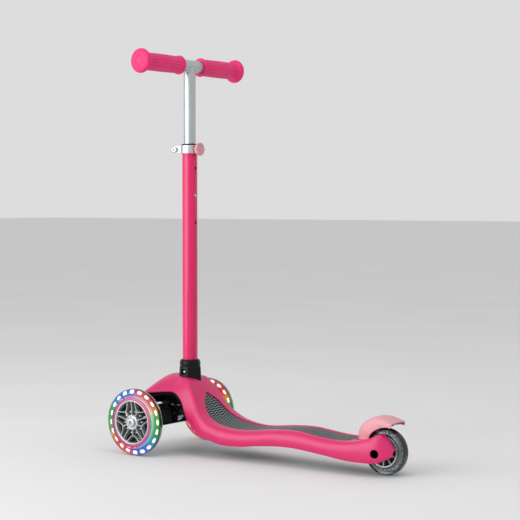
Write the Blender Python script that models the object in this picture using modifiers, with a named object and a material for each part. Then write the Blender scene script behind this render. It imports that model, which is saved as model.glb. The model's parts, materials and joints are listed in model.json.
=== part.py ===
"""Child's three-wheel kick scooter with a removable, height-adjustable T-bar.

Frame: metres, +X is the way it rolls, +Y is the rider's left, +Z is up.
The origin is on the floor, under the middle of the whole scooter.
"""
import math

import bmesh
import bpy
from mathutils import Matrix, Vector

MM = 0.001

# Wheels and stance
FRONT_WHEEL_RADIUS = 60.5 * MM
FRONT_WHEEL_WIDTH = 24 * MM
REAR_WHEEL_RADIUS = 40 * MM
REAR_WHEEL_WIDTH = 24 * MM
WHEELBASE = 469 * MM
TRACK = 212.3 * MM

# Fits
GAP = 0.3 * MM                      # between pieces that touch
RUNNING_GAP = 0.05 * MM             # shaft in its bore, on the radius
ROUND_SIDES = 20                    # of every shaft, pin and bearing, so that facets line up
TUBE_SIDES = 28                     # of the T-bar's tubes and what fits round them
WHEEL_SIDES = 32

# T-bar
STEM_BEHIND_AXLE = 42.5 * MM
HANDLEBAR_HEIGHT = 710.3 * MM
HANDLEBAR_HALF = 137 * MM
UPPER_TUBE_RADIUS = 11 * MM
UPPER_TUBE_WALL = 1.5 * MM
CROSSBAR_RADIUS = 11.2 * MM
UPPER_TUBE_BELOW_BAR = 315.3 * MM
LOWER_TUBE_RADIUS = 14 * MM
LOWER_TUBE_WALL = 1.8 * MM
LOWER_TUBE_ABOVE_AXLE = 51.5 * MM
LOWER_TUBE_BELOW_BAR = 147.3 * MM
HEIGHT_HOLE_BELOW_BAR = 237.8 * MM
HEIGHT_STEP = 50 * MM
BUTTON_RADIUS = 2.7 * MM
BUTTON_PLAY = 0.4 * MM
GRIP_LENGTH = 112 * MM
GRIP_WALL = 4.3 * MM
GRIP_FLANGE_WALL = 10.8 * MM
GRIP_INNER_FLANGE_WALL = 6.3 * MM
GRIP_END_THICKNESS = 4 * MM

# Clamp at the top of the lower tube
COLLAR_HEIGHT = 15.3 * MM
COLLAR_PROUD = 1.9 * MM             # above the lower tube's end
COLLAR_WALL = 3 * MM
CLAMP_EAR_LENGTH = 18.5 * MM
CLAMP_EAR_HALF = 7 * MM
CLAMP_SLIT = 3 * MM
CLAMP_BOLT_RADIUS = 2.5 * MM
CLAMP_BOLT_HEAD_RADIUS = 5.8 * MM
KNOB_RADIUS = 12.5 * MM
KNOB_THICKNESS = 5.6 * MM
KNOB_LOBES = 10
KNOB_STUD_RADIUS = 3 * MM
KNOB_BOSS_LENGTH = 3.5 * MM

# Stem socket, with heights above the front axle
SOCKET_LOW_ABOVE = 65.5 * MM
SOCKET_SHOULDER_ABOVE = 96.5 * MM
SOCKET_HIGH_ABOVE = 108.5 * MM
BASE_BUTTON_ABOVE = 86 * MM
SOCKET_WALL = 6 * MM
SOCKET_TAIL_LENGTH = 4 * MM
SOCKET_TAIL_RADIUS = 4.5 * MM
BASE_BUTTON_RECESS_RADIUS = 5.5 * MM

# Deck
SHELL_WALL = 3 * MM
WING_CLEARANCE = 12 * MM            # wing tip to the inner face of a front wheel
DECK_RIM = 6.5 * MM                 # how far the black frame shows below the shell in the arch
MAT_THICKNESS = 1.6 * MM
MAT_PROUD = 0.6 * MM
WHEEL_SLOT_GAP = 4 * MM             # beside the rear wheel
WHEEL_SLOT_AHEAD = 13 * MM          # rear wheel to the front wall of the slot
AXLE_RECESS_RADIUS = 7.5 * MM
AXLE_RECESS_DEPTH = 8 * MM
REAR_AXLE_HALF = 30 * MM
RIB_PITCH = 34 * MM
RIB_THICKNESS = 3 * MM

# Steering
STEER_TILT = math.radians(35)
PIVOT_ABOVE_AXLE = 9.5 * MM
KINGPIN_RADIUS = 4 * MM
BARREL_HALF = 10 * MM
BARREL_RADIUS = 11 * MM
BUSHING_THICKNESS = 3 * MM
CLEVIS_EAR = 5 * MM
CLEVIS_HALF = 10 * MM
HOUSING_ABOVE_AXLE = 34 * MM
BOSS_HEIGHT = 21.5 * MM
TRUCK_HALF_X = 10 * MM
TRUCK_BELOW_AXLE = 8.5 * MM
TRUCK_ABOVE_AXLE = 7 * MM
SPRING_OFFSET = 24 * MM
SPRING_RADIUS = 6.5 * MM
SPRING_WIRE = 1 * MM
LOCK_BUTTON_RADIUS = 6 * MM
LOCK_BUTTON_ABOVE_AXLE = 44 * MM

# Wheel insides
AXLE_RADIUS = 4 * MM
BEARING_RADIUS = 11 * MM
BEARING_WIDTH = 7 * MM
HUB_WALL = 2.8 * MM
FRONT_TYRE_DEPTH = 15 * MM          # tread to the light ring
LIGHT_RING_DEPTH = 5.2 * MM
FRONT_CORE_RIM = 3 * MM
AXLE_HEAD_RADIUS = 8.5 * MM
REAR_TYRE_DEPTH = 13 * MM
SPOKE_COUNT = 5

# Brake
BRAKE_WALL = 2.6 * MM
BRAKE_PIVOT_AHEAD = 5.3 * MM        # of the rear wheel
BRAKE_PIVOT_RISE = 12 * MM
BRAKE_BARREL_RADIUS = 4.5 * MM
BRAKE_BARREL_HALF = 9.5 * MM
BRAKE_PIN_RADIUS = 2 * MM
BRAKE_PAD_GAP = 3.3 * MM
BRAKE_PAD_THICKNESS = 8.4 * MM

# Places that follow from the sizes above
FRONT_AXLE = Vector(((WHEELBASE + REAR_WHEEL_RADIUS - FRONT_WHEEL_RADIUS) / 2, 0, FRONT_WHEEL_RADIUS))
REAR_AXLE = Vector((FRONT_AXLE.x - WHEELBASE, 0, REAR_WHEEL_RADIUS))
STEM_X = FRONT_AXLE.x - STEM_BEHIND_AXLE
UPPER_TUBE_BOTTOM = HANDLEBAR_HEIGHT - UPPER_TUBE_BELOW_BAR
LOWER_TUBE_BOTTOM = FRONT_AXLE.z + LOWER_TUBE_ABOVE_AXLE
LOWER_TUBE_TOP = HANDLEBAR_HEIGHT - LOWER_TUBE_BELOW_BAR
HEIGHT_HOLE = HANDLEBAR_HEIGHT - HEIGHT_HOLE_BELOW_BAR
GRIP_RADIUS = CROSSBAR_RADIUS + GRIP_WALL
GRIP_FLANGE_RADIUS = CROSSBAR_RADIUS + GRIP_FLANGE_WALL
GRIP_INNER_FLANGE_RADIUS = CROSSBAR_RADIUS + GRIP_INNER_FLANGE_WALL
COLLAR_HIGH = LOWER_TUBE_TOP + COLLAR_PROUD
COLLAR_LOW = COLLAR_HIGH - COLLAR_HEIGHT
COLLAR_RADIUS = LOWER_TUBE_RADIUS + COLLAR_WALL
CLAMP_EAR_REACH = COLLAR_RADIUS + CLAMP_EAR_LENGTH
CLAMP_BOLT_OFFSET = CLAMP_EAR_REACH - 6.5 * MM
KNOB_BOSS_REACH = COLLAR_RADIUS + KNOB_BOSS_LENGTH
SOCKET_LOW = FRONT_AXLE.z + SOCKET_LOW_ABOVE
SOCKET_SHOULDER = FRONT_AXLE.z + SOCKET_SHOULDER_ABOVE
SOCKET_HIGH = FRONT_AXLE.z + SOCKET_HIGH_ABOVE
BASE_BUTTON_HEIGHT = FRONT_AXLE.z + BASE_BUTTON_ABOVE
SOCKET_RADIUS = LOWER_TUBE_RADIUS + SOCKET_WALL
SOCKET_TAIL = SOCKET_RADIUS + SOCKET_TAIL_LENGTH
SOCKET_COLLAR_RADIUS = SOCKET_RADIUS - 1 * MM
HOUSING_TOP = FRONT_AXLE.z + HOUSING_ABOVE_AXLE
BOSS_TOP = HOUSING_TOP + BOSS_HEIGHT
LIGHT_RING_RADIUS = FRONT_WHEEL_RADIUS - FRONT_TYRE_DEPTH
FRONT_CORE_RADIUS = LIGHT_RING_RADIUS - LIGHT_RING_DEPTH
REAR_CORE_RADIUS = REAR_WHEEL_RADIUS - REAR_TYRE_DEPTH
SLOT_HALF = REAR_WHEEL_WIDTH / 2 + WHEEL_SLOT_GAP
SLOT_FRONT = REAR_AXLE.x + REAR_WHEEL_RADIUS + WHEEL_SLOT_AHEAD
WING_TIP = (TRACK - FRONT_WHEEL_WIDTH) / 2 - WING_CLEARANCE
STEER_PIVOT = FRONT_AXLE + Vector((0, 0, PIVOT_ABOVE_AXLE))
STEER_AXIS = Vector((math.cos(STEER_TILT), 0, math.sin(STEER_TILT)))
BRAKE_PIVOT = REAR_AXLE + Vector((REAR_WHEEL_RADIUS + BRAKE_PIVOT_AHEAD, 0, BRAKE_PIVOT_RISE))
TRUCK_HALF = (TRACK - FRONT_WHEEL_WIDTH) / 2 - 4 * MM

FORWARD = Vector((1, 0, 0))
LEFT = Vector((0, 1, 0))
UP = Vector((0, 0, 1))

# Half sections of the deck shell, front to tail, in millimetres from the named axle; the rear
# ones are for a wheel of 40 mm radius.
# Top middle (x, z), crease (x, y, z), side (x, y, z), lower edge (x, y, z), and the share of
# the way out to the wing tip that the lower edge is pulled.
FRONT_SECTIONS = [
    ((26, 34), (25, 14, 33), (21, 48, 31), (13, 50, 28), 0.96),
    ((25, 52), (24, 14, 51), (20, 48, 44), (12, 50, 36), 1.0),
    ((13, 68), (12, 14, 67), (10, 48, 56), (6, 50, 45), 1.0),
    ((-4, 76.5), (-7, 14, 75.5), (-8, 50, 65), (-8, 50, 50), 1.0),
    ((-22, 77), (-26, 19, 75.5), (-22, 48, 63), (-18, 50, 51), 0.7),
    ((-42, 74), (-44, 24, 73), (-36, 44, 59), (-31, 50, 51.5), 0.25),
    ((-60, 71), (-56, 27, 73), (-48, 42, 58), (-44, 49, 50.5), 0),
    ((-70, 62), (-64, 32, 64), (-56, 42, 52), (-52, 47, 45), 0),
    ((-80, 48), (-76, 37.5, 50), (-66, 44, 38), (-61, 47, 34), 0),
    ((-93, 32), (-87, 42, 33), (-76, 47, 20), (-70, 48, 16), 0),
    ((-103, 20), (-98, 47, 18), (-87, 50, 7), (-80, 49, 0), 0),
    ((-117, 8.5), (-113, 51, 6.5), (-102, 54, -4), (-96, 51, -14.5), 0),
    ((-137, 0), (-134, 52, -3), (-126, 57, -12), (-120, 53, -24), 0),
    ((-166, -6), (-165, 48, -8.5), (-161, 55, -19), (-158, 52, -33), 0),
    ((-197, -7), (-197, 43, -9.5), (-197, 50, -20), (-197, 47, -33), 0),
]
REAR_SECTIONS = [
    ((243, 16), (243, 40, 13.5), (243, 47, 4), (243, 45, -9), 0),
    ((215, 19.5), (215, 38.5, 17), (215, 45, 8), (215, 43, -6.5), 0),
    ((188, 21.5), (188, 37, 19), (188, 43.5, 9), (188, 42, -5), 0),
    ((161, 21.7), (161, 36, 19.3), (161, 42.5, 9), (161, 41, -5.3), 0),
    ((134, 19), (134, 35.5, 16.5), (134, 42, 7), (134, 40.5, -7.5), 0),
    ((95, 15), (95, 35, 12.7), (95, 41.5, 3.5), (95, 40, -11.5), 0),
    ((56, 14), (56, 35.5, 12.3), (56, 41, 2.5), (56, 39.5, -16), 0),
    ((30, 17), (30, 34.5, 16.5), (30, 39.5, 4), (30, 38, -17), 0),
    ((10, 23), (10, 32, 22.5), (10, 38, 6), (10, 36.5, -16.5), 0),
    ((-4, 29), (-4, 28, 28.5), (-4, 34.5, 6), (-4, 33.5, -14.5), 0),
    ((-16, 19), (-16, 24, 18.5), (-16, 28.5, 2), (-16, 27.5, -9), 0),
    ((-26, 5), (-26, 19.5, 4.7), (-26, 21.5, 1), (-26, 21, -3), 0),
]

# Foot mat: half width in millimetres at each section, from its tip to its tail
MAT_FIRST_SECTION = 8
MAT_HALF_WIDTHS = [6, 20, 27, 32, 35, 36, 34, 32, 30, 29, 29, 30, 31, 29]

# Brake fender over a wheel of 40 mm radius, in millimetres from the rear axle: top (x, z),
# shoulder and edge (x, y, z)
BRAKE_SECTIONS = [
    ((45.5, 17), (43, 12, 17), (26, 15.4, 17.5)),
    ((46, 29), (43, 13, 28), (24, 15.5, 22.5)),
    ((39, 41), (37, 14.5, 40), (19, 18, 29.5)),
    ((26, 50.5), (25, 15, 49), (11, 19, 36)),
    ((11, 56), (11, 16, 54.5), (0, 19.5, 41.5)),
    ((-3, 56.5), (-3, 17, 54.8), (-9, 20, 43.5)),
    ((-14, 54), (-13, 18, 52.2), (-15, 21, 44.5)),
    ((-25, 50), (-23.5, 19, 48.3), (-22, 21, 44)),
]


def start_scene():
    """Empty the scene and make the two collections."""
    for old in list(bpy.data.objects):
        bpy.data.objects.remove(old, do_unlink=True)
    parts = bpy.data.collections.new("kick_scooter")
    cutters = bpy.data.collections.new("cutters")
    bpy.context.scene.collection.children.link(parts)
    bpy.context.scene.collection.children.link(cutters)
    return parts, cutters


PARTS, CUTTERS = start_scene()


def material(name, colour, roughness, metallic=0.0):
    """A plain Principled material."""
    made = bpy.data.materials.new(name)
    made.use_nodes = True
    shader = made.node_tree.nodes["Principled BSDF"]
    shader.inputs["Base Color"].default_value = (*colour, 1)
    shader.inputs["Roughness"].default_value = roughness
    shader.inputs["Metallic"].default_value = metallic
    made.diffuse_color = (*colour, 1)
    return made


PINK_PAINT = material("pink_paint", (0.78, 0.04, 0.17), 0.3)
PINK_PLASTIC = material("pink_plastic", (0.8, 0.05, 0.19), 0.35)
PINK_RUBBER = material("pink_rubber", (0.8, 0.06, 0.2), 0.6)
PALE_PINK = material("pale_pink_plastic", (0.85, 0.36, 0.42), 0.45)
BLACK_PLASTIC = material("black_plastic", (0.015, 0.015, 0.018), 0.5)
MAT_RUBBER = material("mat_rubber", (0.06, 0.065, 0.075), 0.75)
SILVER = material("anodised_aluminium", (0.72, 0.75, 0.77), 0.32, 1.0)
STEEL = material("zinc_steel", (0.65, 0.65, 0.66), 0.3, 1.0)
GREY_CORE = material("wheel_core_grey", (0.5, 0.51, 0.54), 0.4)
CLEAR_TYRE = material("clear_urethane", (0.7, 0.72, 0.8), 0.15)
GREY_TYRE = material("grey_urethane", (0.35, 0.36, 0.38), 0.25)
LIGHT_RING = material("light_ring_pink", (0.55, 0.08, 0.3), 0.3)


def link(name, mesh, finish, cutter=False):
    """Make an object from a mesh and put it in its collection."""
    made = bpy.data.objects.new(name, mesh)
    if cutter:
        CUTTERS.objects.link(made)
        made.hide_render = True
        made.display_type = "WIRE"
    else:
        mesh.materials.append(finish)
        PARTS.objects.link(made)
    return made


def aim(made, centre, axis):
    """Put an object at a point with its own Z along an axis."""
    made.location = centre
    made.rotation_euler = Vector(axis).to_track_quat("Z", "Y").to_euler()
    return made


def cylinder(name, radius, ends, axis, finish, at=Vector(), sides=ROUND_SIDES, cutter=False):
    """A cylinder or cone between two distances along an axis through a point."""
    mesh = bpy.data.meshes.new(name)
    built = bmesh.new()
    near, far = ends
    bmesh.ops.create_cone(
        built, cap_ends=True, segments=sides, radius1=radius, radius2=radius, depth=far - near)
    built.to_mesh(mesh)
    built.free()
    direction = Vector(axis).normalized()
    return aim(link(name, mesh, finish, cutter), Vector(at) + direction * (near + far) / 2, direction)


def box(name, low, high, finish, cutter=False):
    """A box between two corners."""
    low = Vector(low)
    high = Vector(high)
    mesh = bpy.data.meshes.new(name)
    built = bmesh.new()
    bmesh.ops.create_cube(built, size=1)
    bmesh.ops.scale(built, vec=high - low, verts=built.verts)
    built.to_mesh(mesh)
    built.free()
    made = link(name, mesh, finish, cutter)
    made.location = (low + high) / 2
    return made


def turned(name, profile, centre, axis, finish, steps=ROUND_SIDES, cutter=False):
    """A profile of (radius, height) points, closed or touching the axis, turned about an axis."""
    area = sum(a[0] * b[1] - b[0] * a[1] for a, b in zip(profile, profile[1:] + profile[:1]))
    if area > 0:
        profile = profile[::-1]
    mesh = bpy.data.meshes.new(name)
    built = bmesh.new()
    verts = [built.verts.new((radius, 0, height)) for radius, height in profile]
    for first, second in zip(verts, verts[1:] + verts[:1]):
        if first.co.x > 1e-6 or second.co.x > 1e-6:
            built.edges.new((first, second))
    built.to_mesh(mesh)
    built.free()
    made = link(name, mesh, finish, cutter)
    screw = made.modifiers.new("turn", "SCREW")
    screw.steps = steps
    screw.render_steps = steps
    screw.use_merge_vertices = True
    screw.merge_threshold = 0.00001
    return aim(made, centre, axis)


def ring(name, inner, outer, ends, axis, finish, at=Vector(), steps=ROUND_SIDES):
    """A flat ring between two distances along an axis."""
    near, far = ends
    profile = [(inner, near), (outer, near), (outer, far), (inner, far)]
    return turned(name, profile, at, axis, finish, steps)


def nut(name, bore, across, ends, axis, at):
    """A plain hexagon nut."""
    near, far = ends
    made = cylinder(name, across / 2 / math.cos(math.pi / 6), ends, axis, STEEL, at, 6)
    hole = cylinder(
        name + "_hole", bore, (near - MM, far + MM), axis, None, at, ROUND_SIDES, cutter=True)
    return cut(made, hole)


def mesh_from_curve(made):
    """Turn a curve object into a mesh object with its caps welded."""
    depsgraph = bpy.context.evaluated_depsgraph_get()
    depsgraph.update()
    mesh = bpy.data.meshes.new_from_object(made.evaluated_get(depsgraph))
    built = bmesh.new()
    built.from_mesh(mesh)
    bmesh.ops.remove_doubles(built, verts=built.verts, dist=1e-6)
    built.to_mesh(mesh)
    built.free()
    mesh.materials.clear()
    return mesh


def plate(name, outline, ends, place, finish, cutter=False):
    """A flat outline of (x, y) points, extruded between two distances along its own Z."""
    near, far = ends
    curve = bpy.data.curves.new(name, "CURVE")
    curve.dimensions = "2D"
    curve.fill_mode = "BOTH"
    curve.extrude = (far - near) / 2
    line = curve.splines.new("POLY")
    line.points.add(len(outline) - 1)
    for point, (x, y) in zip(line.points, outline):
        point.co = (x, y, 0, 1)
    line.use_cyclic_u = True
    flat = bpy.data.objects.new(name + "_outline", curve)
    CUTTERS.objects.link(flat)
    mesh = mesh_from_curve(flat)
    bpy.data.objects.remove(flat, do_unlink=True)
    made = link(name, mesh, finish, cutter)
    made.matrix_world = place @ Matrix.Translation((0, 0, (near + far) / 2))
    return made


def coil(name, radius, wire, length, turns, centre, axis, finish):
    """A coil spring standing on a point."""
    curve = bpy.data.curves.new(name, "CURVE")
    curve.dimensions = "3D"
    curve.bevel_depth = wire
    curve.bevel_resolution = 1
    curve.use_fill_caps = True
    count = int(turns * 10) + 1
    line = curve.splines.new("POLY")
    line.points.add(count - 1)
    for index, point in enumerate(line.points):
        angle = math.tau * turns * index / (count - 1)
        rise = wire + (length - 2 * wire) * index / (count - 1)
        point.co = (radius * math.cos(angle), radius * math.sin(angle), rise, 1)
    made = bpy.data.objects.new(name, curve)
    curve.materials.append(finish)
    PARTS.objects.link(made)
    return aim(made, centre, axis)


def change(made, operation, *others):
    """Cut, join or intersect a part with other solids."""
    for other in others:
        modifier = made.modifiers.new(other.name, "BOOLEAN")
        modifier.operation = operation
        modifier.solver = "EXACT"
        modifier.object = other
    return made


def cut(made, *cutters):
    return change(made, "DIFFERENCE", *cutters)


def join(made, *pieces):
    return change(made, "UNION", *pieces)


def grid_mesh(name, rows, closed=False):
    """Faces across rows of points; closed rows are rings, with caps made of rungs."""
    mesh = bpy.data.meshes.new(name)
    built = bmesh.new()
    made = [[built.verts.new(point) for point in row] for row in rows]
    width = len(rows[0])
    across = width if closed else width - 1
    for near, far in zip(made, made[1:]):
        for index in range(across):
            following = (index + 1) % width
            built.faces.new((near[index], near[following], far[following], far[index]))
    if closed:
        for row in (made[0], made[-1]):
            for index in range((width - 1) // 2):
                rung = [row[index], row[index + 1], row[width - 2 - index], row[width - 1 - index]]
                built.faces.new(rung[:2] + rung[3:] if rung[1] == rung[2] else rung)
    bmesh.ops.recalc_face_normals(built, faces=built.faces)
    built.to_mesh(mesh)
    built.free()
    return mesh


# Deck -------------------------------------------------------------------------------------------


def deck_sections():
    """Half sections of the shell as lists of four points in metres."""
    sections = []
    larger = REAR_WHEEL_RADIUS - 40 * MM
    for axle, rows in ((FRONT_AXLE, FRONT_SECTIONS), (REAR_AXLE, REAR_SECTIONS)):
        for top, crease, side, edge, flare in rows:
            points = [
                axle + Vector((top[0], 0, top[1])) * MM,
                axle + Vector(crease) * MM,
                axle + Vector(side) * MM,
                axle + Vector(edge) * MM,
            ]
            points[3].y += (WING_TIP - points[3].y) * flare
            if axle == REAR_AXLE:
                room = larger * min(1, max(-0.5, top[0] / 50))
                points = [point + FORWARD * room for point in points]
            sections.append(points)
    return sections


SECTIONS = deck_sections()


def quadratic(first, middle, last, share):
    """A point on the parabola through three points."""
    return (first * (1 - share) * (1 - 2 * share) + middle * 4 * share * (1 - share)
            + last * share * (2 * share - 1))


def half_outline(section):
    """The outer line of a half section from the middle to the lower edge."""
    top, crease, side, edge = section
    middle = Vector((crease.x * 0.3 + top.x * 0.7, crease.y * 0.55, crease.z * 0.3 + top.z * 0.7))
    line = [top, middle, crease]
    line += [quadratic(crease, side, edge, share) for share in (0.2, 0.5, 0.8, 1.0)]
    return line


def mirrored(line):
    """A full row from the right side to the left, from a left half that starts at the middle."""
    right = [Vector((point.x, -point.y, point.z)) for point in line[:0:-1]]
    return right + line


def row_normals(rows):
    """Outward directions at every point of the shell's rows."""
    normals = []
    last_row = len(rows) - 1
    last_column = len(rows[0]) - 1
    for index, row in enumerate(rows):
        line = []
        for column, _ in enumerate(row):
            along = rows[min(index + 1, last_row)][column] - rows[max(index - 1, 0)][column]
            across = row[min(column + 1, last_column)] - row[max(column - 1, 0)]
            line.append(across.cross(along).normalized())
        normals.append(line)
    return normals


def inset_rows(rows, depth):
    """The shell's rows moved inwards."""
    return [
        [point - normal * depth for point, normal in zip(row, line)]
        for row, line in zip(rows, row_normals(rows))
    ]


SHELL_ROWS = [mirrored(half_outline(section)) for section in SECTIONS]


def socket_outline(grow=0.0):
    """Teardrop plan of the stem socket, about the stem."""
    front = SOCKET_RADIUS + grow
    back = SOCKET_TAIL_RADIUS + grow
    back_x = -(SOCKET_TAIL - SOCKET_TAIL_RADIUS)
    lean = math.asin((front - back) / -back_x)
    turn = math.pi / 2 + lean
    points = []
    for index in range(17):
        angle = -turn + 2 * turn * index / 16
        points.append((front * math.cos(angle), front * math.sin(angle)))
    for index in range(7):
        angle = turn + 2 * (math.pi - turn) * index / 6
        points.append((back_x + back * math.cos(angle), back * math.sin(angle)))
    return points


def stem_place(height=0.0):
    return Matrix.Translation((STEM_X, 0, height))


def tube_cutter(name, radius, low, high):
    return cylinder(name, radius, (low, high), UP, None, (STEM_X, 0, 0), TUBE_SIDES, cutter=True)


def wheel_slot():
    """The gap between the fork arms, open at the back."""
    low = (REAR_AXLE.x - 80 * MM, -SLOT_HALF, -20 * MM)
    high = (SLOT_FRONT, SLOT_HALF, REAR_AXLE.z + 80 * MM)
    return box("wheel_slot", low, high, None, cutter=True)


def mat_rows(depth, grow):
    """Rows of the foot mat, moved out from the shell's surface."""
    rows = []
    normals = row_normals(SHELL_ROWS)
    middle = len(SHELL_ROWS[0]) // 2
    for index, half in enumerate(MAT_HALF_WIDTHS):
        number = MAT_FIRST_SECTION + index
        section = SHELL_ROWS[number][middle:middle + 3]
        facing = normals[number][middle:middle + 3]
        line = []
        for share in (0, 0.5, 1.0):
            reach = (half * MM + grow) * share
            inner = 0 if reach <= section[1].y else 1
            part = (reach - section[inner].y) / (section[inner + 1].y - section[inner].y)
            point = section[inner].lerp(section[inner + 1], part)
            line.append(point + facing[inner].lerp(facing[inner + 1], part).normalized() * depth)
        rows.append(mirrored(line))
    first_along = (rows[0][2] - rows[1][2]).normalized()
    last_along = (rows[-1][2] - rows[-2][2]).normalized()
    rows[0] = [point + first_along * grow for point in rows[0]]
    rows[-1] = [point + last_along * grow for point in rows[-1]]
    return rows


def mat_solid(name, proud, sunk, grow, finish, cutter=False):
    """A closed slab that follows the deck between two depths."""
    top = mat_rows(proud, grow)
    bottom = mat_rows(-sunk, grow)
    rows = [upper + lower[::-1] for upper, lower in zip(top, bottom)]
    return link(name, grid_mesh(name, rows, closed=True), finish, cutter)


def make_foot_mat():
    sunk = MAT_THICKNESS - MAT_PROUD
    mat_solid("foot_mat", MAT_PROUD, sunk, 0, MAT_RUBBER)
    return mat_solid("mat_recess", 6 * MM, sunk + GAP, GAP, None, cutter=True)


def make_deck_shell(mat_recess, slot):
    mesh = grid_mesh("deck_shell", SHELL_ROWS)
    if mesh.polygons[len(mesh.polygons) // 2].normal.z < 0:
        mesh.flip_normals()
    shell = link("deck_shell", mesh, PINK_PLASTIC)
    wall = shell.modifiers.new("wall", "SOLIDIFY")
    wall.thickness = SHELL_WALL
    wall.offset = -1
    wall.use_even_offset = True
    socket_hole = plate(
        "socket_hole", socket_outline(GAP), (SOCKET_LOW - 26 * MM, SOCKET_SHOULDER + 3 * MM),
        stem_place(), None, cutter=True)
    axle_hole = cylinder(
        "axle_hole", AXLE_RECESS_RADIUS, (-60 * MM, 60 * MM), LEFT, None, REAR_AXLE, cutter=True)
    lock_hole = cylinder(
        "lock_hole", LOCK_BUTTON_RADIUS + GAP, (-12 * MM, 30 * MM), FORWARD, None,
        FRONT_AXLE + Vector((FRONT_SECTIONS[0][0][0] * MM, 0, LOCK_BUTTON_ABOVE_AXLE)), cutter=True)
    return cut(shell, mat_recess, socket_hole, slot, axle_hole, lock_hole)


def frame_rows():
    """Closed rows of the black frame that fills the shell."""
    depth = SHELL_WALL + GAP
    rows = []
    inset = inset_rows(SHELL_ROWS, depth)[:-1]
    last_arch = 9
    for number, row in enumerate(inset):
        middle = len(row) // 2
        half = row[middle:]
        edge = half[-1]
        outward = (half[-1] - half[-2]).normalized()
        fade = min(1.0, max(0.0, (last_arch + 4 - number) / 4))
        rim = edge + outward * (DECK_RIM * fade - 2.5 * MM * (1 - fade))
        rim.y = min(rim.y, edge.y)
        rows.append(mirrored(half[:-1] + [rim]))
    return rows


def make_deck_frame(slot):
    mesh = grid_mesh("deck_frame", frame_rows(), closed=True)
    frame = link("deck_frame", mesh, BLACK_PLASTIC)
    boss = box(
        "steering_boss",
        (STEM_X - 20 * MM, -28 * MM, HOUSING_TOP + GAP),
        (FRONT_AXLE.x + 6 * MM, 28 * MM, BOSS_TOP), None, cutter=True)
    join(frame, boss)
    seat = plate(
        "socket_seat", socket_outline(GAP), (SOCKET_LOW - GAP, SOCKET_HIGH + MM), stem_place(), None,
        cutter=True)
    bore = tube_cutter(
        "frame_bore", LOWER_TUBE_RADIUS + GAP, LOWER_TUBE_BOTTOM - 2 * MM, SOCKET_HIGH + MM)
    axle = cylinder(
        "frame_axle_bore", AXLE_RADIUS + RUNNING_GAP, (-60 * MM, 60 * MM), LEFT, None, REAR_AXLE,
        cutter=True)
    recess_start = REAR_AXLE_HALF - AXLE_RECESS_DEPTH / 2
    recesses = [
        cylinder(
            "axle_recess_" + name, AXLE_RECESS_RADIUS, (recess_start, 60 * MM), LEFT * side, None,
            REAR_AXLE, cutter=True)
        for name, side in (("left", 1), ("right", -1))
    ]
    lock = cylinder(
        "lock_bore", LOCK_BUTTON_RADIUS + GAP, (-20 * MM, 30 * MM), FORWARD, None,
        FRONT_AXLE + Vector((FRONT_SECTIONS[0][0][0] * MM, 0, LOCK_BUTTON_ABOVE_AXLE)), cutter=True)
    ear_pocket = box(
        "ear_pocket", (STEER_PIVOT.x, -CLEVIS_HALF - GAP, STEER_PIVOT.z - 10 * MM),
        (STEER_PIVOT.x + 20 * MM, CLEVIS_HALF + GAP, HOUSING_TOP + GAP), None, cutter=True)
    cut(frame, ear_pocket, seat, bore, slot, axle, *recesses, lock, *rib_pockets(), *brake_pin_bore())
    return frame


def rib_pockets():
    """Pockets under the deck that leave its ribs."""
    pockets = []
    start = SLOT_FRONT + 14 * MM
    end = FRONT_AXLE.x - 140 * MM
    count = max(2, int((end - start) / RIB_PITCH))
    pitch = (end - start) / count
    for index in range(count):
        near = start + pitch * index
        for name, low, high in (("left", 1.5 * MM, 30 * MM), ("right", -30 * MM, -1.5 * MM)):
            pocket = box(
                f"rib_pocket_{name}_{index}", (near + RIB_THICKNESS / 2, low, 0),
                (near + pitch - RIB_THICKNESS / 2, high, REAR_AXLE.z + 3 * MM), None, cutter=True)
            pockets.append(pocket)
    return pockets


def brake_pin_bore():
    return [cylinder(
        "brake_pin_bore", BRAKE_PIN_RADIUS + RUNNING_GAP, (-24 * MM, 24 * MM), LEFT, None,
        BRAKE_PIVOT, cutter=True)]


def make_deck_screws():
    """Screws that hold the steering housing up into the frame."""
    for number, (x, y) in enumerate(((-32, 20), (-32, -20), (-17, 20), (-17, -20)), 1):
        base = Vector((STEER_PIVOT.x + x * MM, y * MM, HOUSING_TOP - 8 * MM - GAP))
        turned(
            f"housing_screw_{number}",
            [(0, 0), (3.2 * MM, 0), (3.2 * MM, -2.2 * MM), (0, -2.2 * MM)],
            base, UP, STEEL, 12)


# Stem socket and T-bar --------------------------------------------------------------------------


def make_stem_socket():
    body = plate(
        "stem_socket", socket_outline(), (SOCKET_LOW, SOCKET_SHOULDER), stem_place(), BLACK_PLASTIC)
    crown = turned(
        "socket_crown",
        [(0, SOCKET_SHOULDER - 7 * MM), (SOCKET_COLLAR_RADIUS, SOCKET_SHOULDER - 7 * MM),
         (SOCKET_COLLAR_RADIUS, SOCKET_HIGH - 3 * MM),
         (SOCKET_COLLAR_RADIUS - 1.5 * MM, SOCKET_HIGH), (0, SOCKET_HIGH)],
        (STEM_X, 0, 0), UP, None, TUBE_SIDES, cutter=True)
    join(body, crown)
    bore = tube_cutter("socket_bore", LOWER_TUBE_RADIUS + GAP, SOCKET_LOW - MM, SOCKET_HIGH + MM)
    recess = cylinder(
        "button_recess", BASE_BUTTON_RECESS_RADIUS, (SOCKET_RADIUS - 3.2 * MM, 40 * MM), LEFT, None,
        (STEM_X, 0, BASE_BUTTON_HEIGHT), cutter=True)
    hole = cylinder(
        "button_hole", BUTTON_RADIUS + BUTTON_PLAY, (0, 40 * MM), LEFT, None,
        (STEM_X, 0, BASE_BUTTON_HEIGHT), cutter=True)
    return cut(body, bore, recess, hole)


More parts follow.
